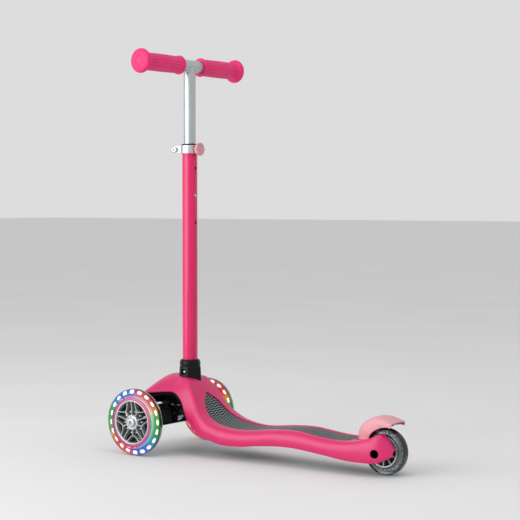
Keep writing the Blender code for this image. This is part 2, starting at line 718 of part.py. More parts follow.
def make_lower_tube():
    bore_radius = LOWER_TUBE_RADIUS - LOWER_TUBE_WALL
    tube = ring(
        "lower_tube", bore_radius, LOWER_TUBE_RADIUS, (LOWER_TUBE_BOTTOM, LOWER_TUBE_TOP), UP,
        PINK_PAINT, (STEM_X, 0, 0), TUBE_SIDES)
    cutters = [
        cylinder(
            f"height_hole_{step + 2}", BUTTON_RADIUS + BUTTON_PLAY, (0, 30 * MM), -FORWARD, None,
            (STEM_X, 0, HEIGHT_HOLE + step * HEIGHT_STEP), cutter=True)
        for step in (-1, 0, 1)
    ]
    cutters.append(cylinder(
        "base_hole", BUTTON_RADIUS + BUTTON_PLAY, (0, 30 * MM), LEFT, None,
        (STEM_X, 0, BASE_BUTTON_HEIGHT), cutter=True))
    cutters.append(box(
        "tube_slit", (STEM_X + 5 * MM, -CLAMP_SLIT / 2, COLLAR_LOW - 8 * MM),
        (STEM_X + 20 * MM, CLAMP_SLIT / 2, LOWER_TUBE_TOP + 5 * MM), None, cutter=True))
    return cut(tube, *cutters)


def make_tube_bush():
    """Plastic sleeve between the tubes, with a flange on the clamp."""
    inner = UPPER_TUBE_RADIUS + RUNNING_GAP
    sleeve = LOWER_TUBE_RADIUS - LOWER_TUBE_WALL - RUNNING_GAP
    flange = LOWER_TUBE_RADIUS + 1 * MM
    seat = COLLAR_HIGH + GAP
    turned(
        "tube_bush",
        [(inner, LOWER_TUBE_TOP - 24 * MM), (sleeve, LOWER_TUBE_TOP - 24 * MM), (sleeve, seat),
         (flange, seat), (flange, seat + 2 * MM), (inner, seat + 2 * MM)],
        (STEM_X, 0, 0), UP, BLACK_PLASTIC, TUBE_SIDES)


def make_upper_tube():
    stem = cylinder(
        "upper_tube", UPPER_TUBE_RADIUS, (UPPER_TUBE_BOTTOM, HANDLEBAR_HEIGHT), UP, SILVER,
        (STEM_X, 0, 0), TUBE_SIDES)
    crossbar = cylinder(
        "crossbar", CROSSBAR_RADIUS, (-HANDLEBAR_HALF, HANDLEBAR_HALF), LEFT, None,
        (STEM_X, 0, HANDLEBAR_HEIGHT), TUBE_SIDES, cutter=True)
    join(stem, crossbar)
    bore = UPPER_TUBE_RADIUS - UPPER_TUBE_WALL
    stem_bore = tube_cutter("stem_bore", bore, UPPER_TUBE_BOTTOM - MM, HANDLEBAR_HEIGHT)
    bar_bore = cylinder(
        "bar_bore", CROSSBAR_RADIUS - UPPER_TUBE_WALL, (-HANDLEBAR_HALF - MM, HANDLEBAR_HALF + MM),
        LEFT, None, (STEM_X, 0, HANDLEBAR_HEIGHT), TUBE_SIDES, cutter=True)
    hole = cylinder(
        "stem_button_hole", BUTTON_RADIUS + BUTTON_PLAY, (0, 30 * MM), -FORWARD, None,
        (STEM_X, 0, HEIGHT_HOLE), cutter=True)
    return cut(stem, stem_bore, bar_bore, hole)


def make_grip(name, side):
    """A ribbed rubber grip with a flange at each end and a closed outer end."""
    bore = CROSSBAR_RADIUS + GAP
    end = HANDLEBAR_HALF + GAP + GRIP_END_THICKNESS
    start = end - GRIP_LENGTH
    profile = [(bore, start), (GRIP_INNER_FLANGE_RADIUS, start)]
    profile += [(GRIP_INNER_FLANGE_RADIUS, start + 4 * MM), (GRIP_RADIUS, start + 7 * MM)]
    profile += [(GRIP_RADIUS, end - 13 * MM), (GRIP_FLANGE_RADIUS - 1 * MM, end - 9 * MM)]
    profile += [(GRIP_FLANGE_RADIUS, end - 6 * MM), (GRIP_FLANGE_RADIUS - 1 * MM, end - 2 * MM)]
    profile += [(GRIP_FLANGE_RADIUS - 5 * MM, end), (0, end)]
    profile += [(0, HANDLEBAR_HALF + GAP), (bore, HANDLEBAR_HALF + GAP)]
    turned(name, profile, (STEM_X, 0, HANDLEBAR_HEIGHT), LEFT * side, PINK_RUBBER, TUBE_SIDES)


def make_clamp():
    """Collar with a slit, two ears, a pinch bolt, and a boss for the knob."""
    middle = (COLLAR_LOW + COLLAR_HIGH) / 2
    collar = cylinder(
        "clamp_collar", COLLAR_RADIUS, (COLLAR_LOW, COLLAR_HIGH), UP, SILVER, (STEM_X, 0, 0),
        TUBE_SIDES)
    ears = box(
        "clamp_ears", (STEM_X + LOWER_TUBE_RADIUS - 4 * MM, -CLAMP_EAR_HALF, COLLAR_LOW + 0.6 * MM),
        (STEM_X + CLAMP_EAR_REACH, CLAMP_EAR_HALF, COLLAR_HIGH - 0.6 * MM), None, cutter=True)
    boss = cylinder(
        "knob_boss", 6 * MM, (LOWER_TUBE_RADIUS - 4 * MM, KNOB_BOSS_REACH), -FORWARD, None,
        (STEM_X, 0, middle), cutter=True)
    join(collar, ears, boss)
    bore = tube_cutter("collar_bore", LOWER_TUBE_RADIUS + GAP, COLLAR_LOW - MM, COLLAR_HIGH + MM)
    slit = box(
        "collar_slit", (STEM_X + 5 * MM, -CLAMP_SLIT / 2, COLLAR_LOW - MM),
        (STEM_X + CLAMP_EAR_REACH + MM, CLAMP_SLIT / 2, COLLAR_HIGH + MM), None, cutter=True)
    bolt_hole = cylinder(
        "clamp_bolt_hole", CLAMP_BOLT_RADIUS + RUNNING_GAP, (-20 * MM, 20 * MM), LEFT, None,
        (STEM_X + CLAMP_BOLT_OFFSET, 0, middle), cutter=True)
    stud_hole = cylinder(
        "knob_stud_hole", KNOB_STUD_RADIUS + RUNNING_GAP, (5 * MM, 30 * MM), -FORWARD, None,
        (STEM_X, 0, middle), cutter=True)
    cut(collar, bore, slit, bolt_hole, stud_hole)

    at = Vector((STEM_X + CLAMP_BOLT_OFFSET, 0, middle))
    seat = CLAMP_EAR_HALF + GAP
    socket = CLAMP_BOLT_HEAD_RADIUS * 0.5
    turned(
        "clamp_bolt",
        [(0, -seat - 5 * MM), (CLAMP_BOLT_RADIUS, -seat - 5 * MM), (CLAMP_BOLT_RADIUS, seat),
         (CLAMP_BOLT_HEAD_RADIUS, seat), (CLAMP_BOLT_HEAD_RADIUS, seat + 4 * MM),
         (socket, seat + 4.6 * MM), (socket, seat + 2 * MM), (0, seat + 2 * MM)],
        at, LEFT, STEEL)
    nut("clamp_nut", CLAMP_BOLT_RADIUS + RUNNING_GAP, 8 * MM, (seat, seat + 4 * MM), -LEFT, at)

    at = Vector((STEM_X, 0, middle))
    pad = LOWER_TUBE_RADIUS + GAP
    cylinder("clamp_pad", KNOB_STUD_RADIUS - 0.3 * MM, (pad, pad + MM), -FORWARD, BLACK_PLASTIC, at)
    stud_start = pad + MM + GAP
    knob_start = KNOB_BOSS_REACH + GAP
    cylinder(
        "knob_stud", KNOB_STUD_RADIUS, (stud_start, knob_start + 3 * MM), -FORWARD, STEEL, at)
    make_knob(knob_start, at)


def make_knob(start, at):
    """A thumb wheel with a lobed rim, pressed on the stud."""
    outline = []
    for index in range(KNOB_LOBES * 4):
        angle = math.tau * index / (KNOB_LOBES * 4)
        radius = KNOB_RADIUS - 0.55 * MM * (1 + math.cos(KNOB_LOBES * angle))
        outline.append((radius * math.cos(angle), radius * math.sin(angle)))
    place = Matrix.Translation(at) @ Vector(-FORWARD).to_track_quat("Z", "Y").to_matrix().to_4x4()
    knob = plate("clamp_knob", outline, (start, start + KNOB_THICKNESS), place, PALE_PINK)
    hole = cylinder(
        "knob_hole", KNOB_STUD_RADIUS + GAP, (start - MM, start + 3 * MM + GAP), -FORWARD, None, at,
        cutter=True)
    return cut(knob, hole)


def make_snap_button(name, tube_radius, wall, at, direction, reach):
    """A round pin that springs out through a tube's hole, and its leaf spring inside the tube."""
    inside = tube_radius - wall
    foot = inside - 3 * MM
    turned(
        name + "_button",
        [(0, foot), (BUTTON_RADIUS + 0.8 * MM, foot), (BUTTON_RADIUS + 0.8 * MM, foot + 1.2 * MM),
         (BUTTON_RADIUS, foot + 1.2 * MM), (BUTTON_RADIUS, reach - 1 * MM),
         (BUTTON_RADIUS * 0.6, reach), (0, reach)],
        at, direction, STEEL)
    leaf = 0.6 * MM
    outer = foot - GAP
    far = -inside + 1.5 * MM
    length = 26 * MM
    outline = [
        (outer, 4 * MM), (outer, -length * 0.5), (outer - 3 * MM, -length), (far + 3 * MM, -length),
        (far, -length * 0.5), (far, 4 * MM), (far + leaf, 4 * MM), (far + leaf, -length * 0.5),
        (far + 3 * MM + leaf, -length + leaf), (outer - 3 * MM - leaf, -length + leaf),
        (outer - leaf, -length * 0.5), (outer - leaf, 4 * MM),
    ]
    side = Vector(direction)
    place = Matrix.Identity(4)
    for row in range(3):
        place[row][0] = side[row]
        place[row][1] = UP[row]
        place[row][2] = side.cross(UP)[row]
        place[row][3] = Vector(at)[row]
    plate(name + "_leaf", outline, (-2.5 * MM, 2.5 * MM), place, STEEL)


def make_t_bar():
    make_lower_tube()
    make_tube_bush()
    make_upper_tube()
    make_grip("grip_left", 1)
    make_grip("grip_right", -1)
    make_clamp()
    make_snap_button(
        "height", UPPER_TUBE_RADIUS, UPPER_TUBE_WALL, (STEM_X, 0, HEIGHT_HOLE), -FORWARD,
        LOWER_TUBE_RADIUS + 0.6 * MM)
    make_snap_button(
        "base", LOWER_TUBE_RADIUS, LOWER_TUBE_WALL, (STEM_X, 0, BASE_BUTTON_HEIGHT), LEFT,
        SOCKET_RADIUS - 1.8 * MM)


# Steering ---------------------------------------------------------------------------------------


def steer_point(along, up):
    """A point in the kingpin's own plane: along the kingpin, and square to it."""
    square = Vector((-math.sin(STEER_TILT), 0, math.cos(STEER_TILT)))
    return STEER_PIVOT + STEER_AXIS * along + square * up


def side_place():
    """Own X along +X, own Y along +Z, own Z along -Y."""
    return Matrix(((1, 0, 0, 0), (0, 0, -1, 0), (0, 1, 0, 0), (0, 0, 0, 1)))


def make_steering_housing():
    """Clevis that holds the kingpin under the frame."""
    inner = BARREL_HALF + BUSHING_THICKNESS + 2 * GAP
    outer = inner + CLEVIS_EAR
    floor = BARREL_RADIUS + 1.2 * MM
    top = HOUSING_TOP
    corners = [
        steer_point(-outer, -8 * MM), steer_point(-inner, -8 * MM), steer_point(-inner, floor),
        steer_point(inner, floor), steer_point(inner, -8 * MM), steer_point(outer, -8 * MM),
    ]
    outline = [(corner.x, corner.z) for corner in corners]
    rise = (top - corners[-1].z) / math.cos(STEER_TILT)
    outline.append((corners[-1].x - rise * math.sin(STEER_TILT), top))
    rise = (top - corners[0].z) / math.cos(STEER_TILT)
    outline.append((corners[0].x - rise * math.sin(STEER_TILT), top))
    housing = plate(
        "steering_housing", outline, (-CLEVIS_HALF, CLEVIS_HALF), side_place(), BLACK_PLASTIC)
    slab = box(
        "housing_slab", (STEER_PIVOT.x - 40 * MM, -28 * MM, top - 8 * MM),
        (STEER_PIVOT.x + 5 * MM, 28 * MM, top), None, cutter=True)
    bore = cylinder(
        "housing_bore", KINGPIN_RADIUS + RUNNING_GAP, (-40 * MM, 40 * MM), STEER_AXIS, None,
        STEER_PIVOT, cutter=True)
    join(housing, slab)
    return cut(housing, bore)


def make_kingpin():
    ear_face = BARREL_HALF + BUSHING_THICKNESS + 2 * GAP + CLEVIS_EAR + GAP
    turned(
        "kingpin",
        [(0, -ear_face - 4 * MM), (6.5 * MM, -ear_face - 4 * MM), (6.5 * MM, -ear_face),
         (KINGPIN_RADIUS, -ear_face), (KINGPIN_RADIUS, ear_face + 7 * MM), (0, ear_face + 7 * MM)],
        STEER_PIVOT, STEER_AXIS, STEEL)
    nut("kingpin_nut", KINGPIN_RADIUS + RUNNING_GAP, 13 * MM, (ear_face, ear_face + 6 * MM),
        STEER_AXIS, STEER_PIVOT)
    start = BARREL_HALF + GAP
    for name, side in (("front", 1), ("rear", -1)):
        ring(
            "bushing_" + name, KINGPIN_RADIUS + GAP, BARREL_RADIUS - MM,
            (start, start + BUSHING_THICKNESS), STEER_AXIS * side, MAT_RUBBER, STEER_PIVOT)


def make_truck():
    """Front beam that leans on the kingpin and carries both axles."""
    truck = cylinder(
        "truck_beam", BARREL_RADIUS, (-BARREL_HALF, BARREL_HALF), STEER_AXIS, BLACK_PLASTIC,
        STEER_PIVOT)
    low = -21 * MM
    corners = [
        steer_point(-BARREL_HALF, low), steer_point(BARREL_HALF, low),
        steer_point(BARREL_HALF, 0), steer_point(-BARREL_HALF, 0),
    ]
    knuckle = plate(
        "truck_knuckle", [(corner.x, corner.z) for corner in corners],
        (-13.5 * MM, 13.5 * MM), side_place(), None, cutter=True)
    join(truck, knuckle)
    for name, side in (("left", 1), ("right", -1)):
        ends = sorted((side * 12.5 * MM, side * TRUCK_HALF))
        arm = box(
            "truck_arm_" + name,
            (FRONT_AXLE.x - TRUCK_HALF_X, ends[0], FRONT_AXLE.z - TRUCK_BELOW_AXLE),
            (FRONT_AXLE.x + TRUCK_HALF_X, ends[1], FRONT_AXLE.z + TRUCK_ABOVE_AXLE), None,
            cutter=True)
        join(truck, arm)
    bore = cylinder(
        "truck_bore", KINGPIN_RADIUS + RUNNING_GAP, (-30 * MM, 30 * MM), STEER_AXIS, None,
        STEER_PIVOT, cutter=True)
    axles = [
        cylinder(
            "truck_axle_bore_" + name, AXLE_RADIUS + RUNNING_GAP,
            (TRUCK_HALF - 32 * MM, TRUCK_HALF + MM), LEFT * side, None, FRONT_AXLE, cutter=True)
        for name, side in (("left", 1), ("right", -1))
    ]
    cut(truck, bore, *axles)
    seat = FRONT_AXLE.z + TRUCK_ABOVE_AXLE + GAP
    length = HOUSING_TOP - 8 * MM - GAP - seat
    for name, side in (("left", 1), ("right", -1)):
        coil(
            "steering_spring_" + name, SPRING_RADIUS, SPRING_WIRE, length, 3,
            (FRONT_AXLE.x - 4 * MM, side * SPRING_OFFSET, seat), UP, STEEL)


def make_lock_button():
    """Push button in the nose that blocks the lean."""
    start = FRONT_AXLE + Vector((
        (FRONT_SECTIONS[0][0][0]) * MM, 0, LOCK_BUTTON_ABOVE_AXLE))
    turned(
        "steering_lock_button",
        [(0, -10 * MM), (LOCK_BUTTON_RADIUS, -10 * MM), (LOCK_BUTTON_RADIUS, 1 * MM),
         (LOCK_BUTTON_RADIUS - MM, 2 * MM), (0, 2 * MM)],
        start, FORWARD, BLACK_PLASTIC)


# Wheels -----------------------------------------------------------------------------------------


def tyre_profile(inner, outer, half):
    """Half-round tread on a straight-sided tyre."""
    crown = min(half, outer - inner) * 0.55
    profile = [(inner, -half), (outer - crown, -half)]
    for step in range(1, 4):
        angle = math.pi * step / 4
        profile.append((
            outer - crown + crown * math.sin(angle), -half * math.cos(angle)))
    profile += [(outer - crown, half), (inner, half)]
    return profile


def make_bearings(prefix, centre, axis, half_gap, names):
    """Ball bearings as plain rings, and the spacer between them."""
    inner = AXLE_RADIUS + RUNNING_GAP
    outer = BEARING_RADIUS - RUNNING_GAP
    for name, side in zip(names, (1, -1)):
        ring(
            f"{prefix}_bearing_{name}", inner, outer, (half_gap, half_gap + BEARING_WIDTH),
            axis * side, STEEL, centre)
    ring(
        prefix + "_spacer", inner, inner + 2 * MM, (-half_gap + GAP, half_gap - GAP), axis, STEEL,
        centre)


def make_front_wheel(name, side):
    """Tyre, light ring, spoked core, backing disc, bearings and axle bolt."""
    centre = FRONT_AXLE + LEFT * side * TRACK / 2
    axis = LEFT * side
    half = FRONT_WHEEL_WIDTH / 2
    turned(
        f"tyre_{name}", tyre_profile(LIGHT_RING_RADIUS + GAP, FRONT_WHEEL_RADIUS, half), centre,
        axis, CLEAR_TYRE, WHEEL_SIDES)
    ring(
        f"light_ring_{name}", FRONT_CORE_RADIUS + GAP, LIGHT_RING_RADIUS,
        (-half + 2 * MM, half - 2 * MM), axis, LIGHT_RING, centre, WHEEL_SIDES)

    core_half = half - 1.5 * MM
    core = ring(
        f"wheel_core_{name}", FRONT_CORE_RADIUS - FRONT_CORE_RIM, FRONT_CORE_RADIUS,
        (-core_half, core_half), axis, GREY_CORE, centre, WHEEL_SIDES)
    seat = BEARING_RADIUS
    hub = cylinder(
        f"hub_{name}", seat + HUB_WALL, (-core_half, core_half), axis, None, centre, cutter=True)
    join(core, hub)
    for index in range(SPOKE_COUNT):
        angle = math.tau * (index + 0.5) / SPOKE_COUNT
        spoke = plate(
            f"spoke_{name}_{index}",
            [(seat + MM, -5 * MM), (FRONT_CORE_RADIUS - 1.2 * MM, -4 * MM),
             (FRONT_CORE_RADIUS - 1.2 * MM, 4 * MM), (seat + MM, 5 * MM)],
            (MM, core_half - MM),
            Matrix.Translation(centre) @ axis.to_track_quat("Z", "Y").to_matrix().to_4x4()
            @ Matrix.Rotation(angle, 4, "Z"), None, cutter=True)
        join(core, spoke)
    bore = cylinder(f"hub_bore_{name}", seat, (-half, half), axis, None, centre, cutter=True)
    cut(core, bore)
    ring(
        f"wheel_backing_{name}", seat + HUB_WALL + GAP, FRONT_CORE_RADIUS - FRONT_CORE_RIM - GAP,
        (-2.5 * MM, MM - GAP), axis, BLACK_PLASTIC, centre)
    make_bearings(f"front_{name}", centre, axis, core_half - BEARING_WIDTH - MM, ("outer", "inner"))

    face = core_half - MM + GAP
    start = -(TRACK / 2 - TRUCK_HALF) - 28 * MM
    turned(
        f"front_axle_{name}",
        [(0, start), (AXLE_RADIUS, start), (AXLE_RADIUS, face), (AXLE_HEAD_RADIUS, face),
         (AXLE_HEAD_RADIUS, face + 3 * MM), (AXLE_HEAD_RADIUS - MM, face + 4 * MM),
         (3.4 * MM, face + 4 * MM), (3.4 * MM, face + 1.5 * MM), (0, face + 1.5 * MM)],
        centre, axis, STEEL)


def make_rear_wheel():
    """Tyre, slotted core, bearings and the through axle."""
    half = REAR_WHEEL_WIDTH / 2
    turned(
        "rear_tyre", tyre_profile(REAR_CORE_RADIUS + GAP, REAR_WHEEL_RADIUS, half), REAR_AXLE, LEFT,
        GREY_TYRE, WHEEL_SIDES)
    seat = BEARING_RADIUS
    core_half = half - 1.5 * MM
    web = 3 * MM
    hub = seat + HUB_WALL
    rim = REAR_CORE_RADIUS - 3 * MM
    turned(
        "rear_wheel_core",
        [(seat, -core_half), (hub, -core_half), (hub, -web), (rim, -web), (rim, -core_half),
         (REAR_CORE_RADIUS, -core_half), (REAR_CORE_RADIUS, core_half), (rim, core_half),
         (rim, web), (hub, web), (hub, core_half), (seat, core_half)],
        REAR_AXLE, LEFT, GREY_CORE, 2 * ROUND_SIDES)
    make_bearings("rear", REAR_AXLE, LEFT, core_half - BEARING_WIDTH, ("left", "right"))
    head = REAR_AXLE_HALF - AXLE_RECESS_DEPTH / 2 + GAP
    turned(
        "rear_axle",
        [(0, -head - 5 * MM), (AXLE_RADIUS, -head - 5 * MM), (AXLE_RADIUS, head), (6 * MM, head),
         (6 * MM, head + 4 * MM), (3 * MM, head + 4 * MM), (3 * MM, head + 2 * MM),
         (0, head + 2 * MM)],
        REAR_AXLE, LEFT, STEEL)
    nut("rear_axle_nut", AXLE_RADIUS + RUNNING_GAP, 12 * MM, (head, head + 4.5 * MM), -LEFT,
        REAR_AXLE)


# Brake ------------------------------------------------------------------------------------------


def make_brake():
    """Sprung fender over the rear wheel, with a pad, a pin and a return spring."""
    rows = []
    grow = REAR_WHEEL_RADIUS / 40
    size = Matrix.Diagonal((grow, MM, grow))
    for top, shoulder, edge in BRAKE_SECTIONS:
        top = REAR_AXLE + size @ Vector((top[0], 0, top[1]))
        shoulder = REAR_AXLE + size @ Vector(shoulder)
        edge = REAR_AXLE + size @ Vector(edge)
        corner = quadratic(top, shoulder, edge, 0.68)
        corner.z = max(corner.z, shoulder.z * 0.5 + edge.z * 0.5)
        rows.append(mirrored([top, shoulder, corner, edge]))
    mesh = grid_mesh("brake_fender", rows)
    if mesh.polygons[len(mesh.polygons) // 2].normal.z < 0:
        mesh.flip_normals()
    fender = link("brake_fender", mesh, PALE_PINK)
    wall = fender.modifiers.new("wall", "SOLIDIFY")
    wall.thickness = BRAKE_WALL
    wall.offset = -1
    wall.use_even_offset = True
    barrel = cylinder(
        "brake_barrel", BRAKE_BARREL_RADIUS, (-BRAKE_BARREL_HALF, BRAKE_BARREL_HALF), LEFT, None,
        BRAKE_PIVOT, cutter=True)
    web = box(
        "brake_web", BRAKE_PIVOT + Vector((-3.6 * MM, -BRAKE_BARREL_HALF, 0)),
        BRAKE_PIVOT + Vector((-0.4 * MM, BRAKE_BARREL_HALF, 9 * MM)), None, cutter=True)
    bore = cylinder(
        "fender_pin_bore", BRAKE_PIN_RADIUS + RUNNING_GAP, (-30 * MM, 30 * MM), LEFT, None,
        BRAKE_PIVOT, cutter=True)
    cut(join(fender, barrel, web), bore)

    cylinder(
        "brake_pin", BRAKE_PIN_RADIUS, (-22 * MM, 22 * MM), LEFT, STEEL, BRAKE_PIVOT)
    coil(
        "brake_spring", 3.3 * MM, 0.6 * MM, 5 * MM, 3,
        BRAKE_PIVOT + LEFT * (BRAKE_BARREL_HALF + GAP), LEFT, STEEL)

    inner = REAR_WHEEL_RADIUS + BRAKE_PAD_GAP
    outer = inner + BRAKE_PAD_THICKNESS
    outline = []
    for radius, turns in ((inner, range(0, 6)), (outer, range(5, -1, -1))):
        for step in turns:
            angle = math.radians(72 + 6 * step)
            outline.append((
                REAR_AXLE.x + radius * math.cos(angle), REAR_AXLE.z + radius * math.sin(angle)))
    plate("brake_pad", outline, (-10 * MM, 10 * MM), side_place(), BLACK_PLASTIC)


def main():
    mat_recess = make_foot_mat()
    slot = wheel_slot()
    make_deck_shell(mat_recess, slot)
    make_deck_frame(slot)
    make_deck_screws()
    make_stem_socket()
    make_t_bar()
    make_steering_housing()
    make_kingpin()
    make_truck()
    make_lock_button()
    make_front_wheel("left", 1)
    make_front_wheel("right", -1)
    make_rear_wheel()
    make_brake()


main()
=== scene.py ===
"""Looks of a child's three-wheel kick scooter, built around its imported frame."""
import json
import math

import bmesh
import bpy
from mathutils import Matrix, Vector

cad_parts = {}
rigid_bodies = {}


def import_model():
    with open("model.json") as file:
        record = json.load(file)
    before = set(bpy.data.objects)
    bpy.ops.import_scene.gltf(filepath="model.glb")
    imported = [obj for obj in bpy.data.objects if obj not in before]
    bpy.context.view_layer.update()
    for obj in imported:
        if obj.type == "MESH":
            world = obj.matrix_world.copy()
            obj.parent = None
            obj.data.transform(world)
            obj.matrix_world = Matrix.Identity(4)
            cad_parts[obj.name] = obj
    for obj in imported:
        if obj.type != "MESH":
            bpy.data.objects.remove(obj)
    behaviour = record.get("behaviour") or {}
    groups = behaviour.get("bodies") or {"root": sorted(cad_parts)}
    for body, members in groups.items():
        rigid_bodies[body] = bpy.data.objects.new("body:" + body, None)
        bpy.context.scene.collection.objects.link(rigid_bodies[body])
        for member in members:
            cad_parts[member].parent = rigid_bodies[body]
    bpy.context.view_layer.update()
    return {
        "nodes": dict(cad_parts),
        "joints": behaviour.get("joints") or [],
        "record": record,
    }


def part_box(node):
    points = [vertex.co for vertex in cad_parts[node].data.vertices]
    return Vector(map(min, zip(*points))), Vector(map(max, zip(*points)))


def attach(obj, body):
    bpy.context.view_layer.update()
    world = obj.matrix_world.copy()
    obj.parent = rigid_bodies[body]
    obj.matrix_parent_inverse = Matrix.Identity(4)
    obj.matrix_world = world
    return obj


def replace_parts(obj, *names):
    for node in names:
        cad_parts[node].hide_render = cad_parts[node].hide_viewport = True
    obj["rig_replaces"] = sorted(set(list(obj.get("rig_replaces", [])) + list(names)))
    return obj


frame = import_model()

MM = 0.001
FORWARD = Vector((1, 0, 0))
LEFT = Vector((0, 1, 0))
UP = Vector((0, 0, 1))

# Places, from the frame
JOINTS = {joint["name"]: joint for joint in frame["joints"]}
LEFT_HUB = Vector(JOINTS["front_left_spin"]["pos_m"])
RIGHT_HUB = Vector(JOINTS["front_right_spin"]["pos_m"])
REAR_AXLE = Vector(JOINTS["rear_spin"]["pos_m"])
STEER_PIVOT = Vector(JOINTS["lean_steer"]["pos_m"])
STEER_AXIS = Vector(JOINTS["lean_steer"]["axis"]).normalized()
BRAKE_PIVOT = Vector(JOINTS["brake_press"]["pos_m"])
FRONT_AXLE = (LEFT_HUB + RIGHT_HUB) / 2


def middle(node):
    """The centre of a node's box at rest."""
    low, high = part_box(node)
    return (low + high) / 2


STEM_X = middle("lower_tube").x
BAR_Z = middle("grip_left").z
BAR_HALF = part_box("upper_tube")[1].y
TUBE_LOW, TUBE_TOP = (corner.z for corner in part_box("lower_tube"))
COLLAR_LOW, COLLAR_HIGH = (corner.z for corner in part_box("clamp_collar"))
SOCKET_LOW, SOCKET_HIGH = (corner.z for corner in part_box("stem_socket"))
BASE_PIN_Z = middle("base_button").z
HEIGHT_PIN_Z = middle("height_button").z
HOUSING_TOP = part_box("steering_housing")[1].z
WING_TIP = LEFT_HUB.y - 24 * MM

# Sizes that several pieces share, in millimetres
TUBE_RADIUS = 14
STEM_RADIUS = 11
CROSSBAR_RADIUS = 11.2
TUBE_BORE = 14.3                    # of the pieces that the lower tube passes through
PIN_HOLE = 3.1
AXLE_BORE = 4.05
AXLE_RECESS = 7.5
LOCK_BORE = 6.3
MAT_GAP = 0.3
SLIT_HALF = 1.5 * MM                # of the clamped ends, in metres as the blocks are
CLEAR = 0.3 * MM

# Half sections of the deck, front to tail, in millimetres from the front or the rear axle: top
# middle (x, z), crease, side and lower edge (x, y, z), and how far the edge is pulled to the wing.
FRONT_SECTIONS = [
    ((26, 34), (25, 14, 33), (21, 48, 31), (13, 50, 28), 0.96),
    ((25, 52), (24, 14, 51), (20, 48, 44), (12, 50, 36), 1.0),
    ((13, 68), (12, 14, 67), (10, 48, 56), (6, 50, 45), 1.0),
    ((-4, 76.5), (-7, 14, 75.5), (-8, 50, 65), (-8, 50, 50), 1.0),
    ((-22, 77), (-26, 19, 75.5), (-22, 48, 63), (-18, 50, 51), 0.7),
    ((-42, 74), (-44, 24, 73), (-36, 44, 59), (-31, 50, 51.5), 0.25),
    ((-60, 71), (-56, 27, 73), (-48, 42, 58), (-44, 49, 50.5), 0),
    ((-70, 62), (-64, 32, 64), (-56, 42, 52), (-52, 47, 45), 0),
    ((-80, 48), (-76, 37.5, 50), (-66, 44, 38), (-61, 47, 34), 0),
    ((-93, 32), (-87, 42, 33), (-76, 47, 20), (-70, 48, 16), 0),
    ((-103, 20), (-98, 47, 18), (-87, 50, 7), (-80, 49, 0), 0),
    ((-117, 8.5), (-113, 51, 6.5), (-102, 54, -4), (-96, 51, -14.5), 0),
    ((-137, 0), (-134, 52, -3), (-126, 57, -12), (-120, 53, -24), 0),
    ((-166, -6), (-165, 48, -8.5), (-161, 55, -19), (-158, 52, -33), 0),
    ((-197, -7), (-197, 43, -9.5), (-197, 50, -20), (-197, 47, -33), 0),
]
REAR_SECTIONS = [
    ((243, 16), (243, 40, 13.5), (243, 47, 4), (243, 45, -9), 0),
    ((215, 19.5), (215, 38.5, 17), (215, 45, 8), (215, 43, -6.5), 0),
    ((188, 21.5), (188, 37, 19), (188, 43.5, 9), (188, 42, -5), 0),
    ((161, 21.7), (161, 36, 19.3), (161, 42.5, 9), (161, 41, -5.3), 0),
    ((134, 19), (134, 35.5, 16.5), (134, 42, 7), (134, 40.5, -7.5), 0),
    ((95, 15), (95, 35, 12.7), (95, 41.5, 3.5), (95, 40, -11.5), 0),
    ((56, 14), (56, 35.5, 12.3), (56, 41, 2.5), (56, 39.5, -16), 0),
    ((30, 17), (30, 34.5, 16.5), (30, 39.5, 4), (30, 38, -17), 0),
    ((10, 23), (10, 32, 22.5), (10, 38, 6), (10, 36.5, -16.5), 0),
    ((-4, 29), (-4, 28, 28.5), (-4, 34.5, 6), (-4, 33.5, -14.5), 0),
    ((-16, 19), (-16, 24, 18.5), (-16, 28.5, 2), (-16, 27.5, -9), 0),
    ((-26, 5), (-26, 19.5, 4.7), (-26, 21.5, 1), (-26, 21, -3), 0),
]
DECK_WALL = 3.0
MAT_START = 8                       # the section at the mat's tip
MAT_HALF_WIDTHS = [6, 20, 27, 32, 35, 36, 34, 32, 30, 29, 29, 30, 31, 29]

# Brake fender, in millimetres from the rear axle: top (x, z), shoulder and edge (x, y, z)
FENDER_SECTIONS = [
    ((45.5, 17), (43, 12, 17), (26, 15.4, 17.5)),
    ((46, 29), (43, 13, 28), (24, 15.5, 22.5)),
    ((39, 41), (37, 14.5, 40), (19, 18, 29.5)),
    ((26, 50.5), (25, 15, 49), (11, 19, 36)),
    ((11, 56), (11, 16, 54.5), (0, 19.5, 41.5)),
    ((-3, 56.5), (-3, 17, 54.8), (-9, 20, 43.5)),
    ((-14, 54), (-13, 18, 52.2), (-15, 21, 44.5)),
    ((-25, 50), (-23.5, 19, 48.3), (-22, 21, 44)),
]


# Nodes and materials ------------------------------------------------------------------------------


def linear(colour):
    """A hex sRGB colour as linear RGBA."""
    shares = [int(colour[spot:spot + 2], 16) / 255 for spot in (1, 3, 5)]
    return (*[s / 12.92 if s <= 0.04045 else ((s + 0.055) / 1.055) ** 2.4 for s in shares], 1)


def add(tree, kind, inputs=None, stops=(), **settings):
    """Add a node with its settings, its inputs as values or links, and its band of colours."""
    made = tree.nodes.new(kind)
    if stops:
        elements = made.color_ramp.elements
        while len(elements) < len(stops):
            elements.new(0.5)
        for element, (position, colour) in zip(elements, stops):
            element.position = position
            element.color = linear(colour)
    for name, value in settings.items():
        setattr(made, name, value)
    for name, value in (inputs or {}).items():
        if isinstance(value, bpy.types.NodeSocket):
            tree.links.new(value, made.inputs[name])
        else:
            made.inputs[name].default_value = value
    return made


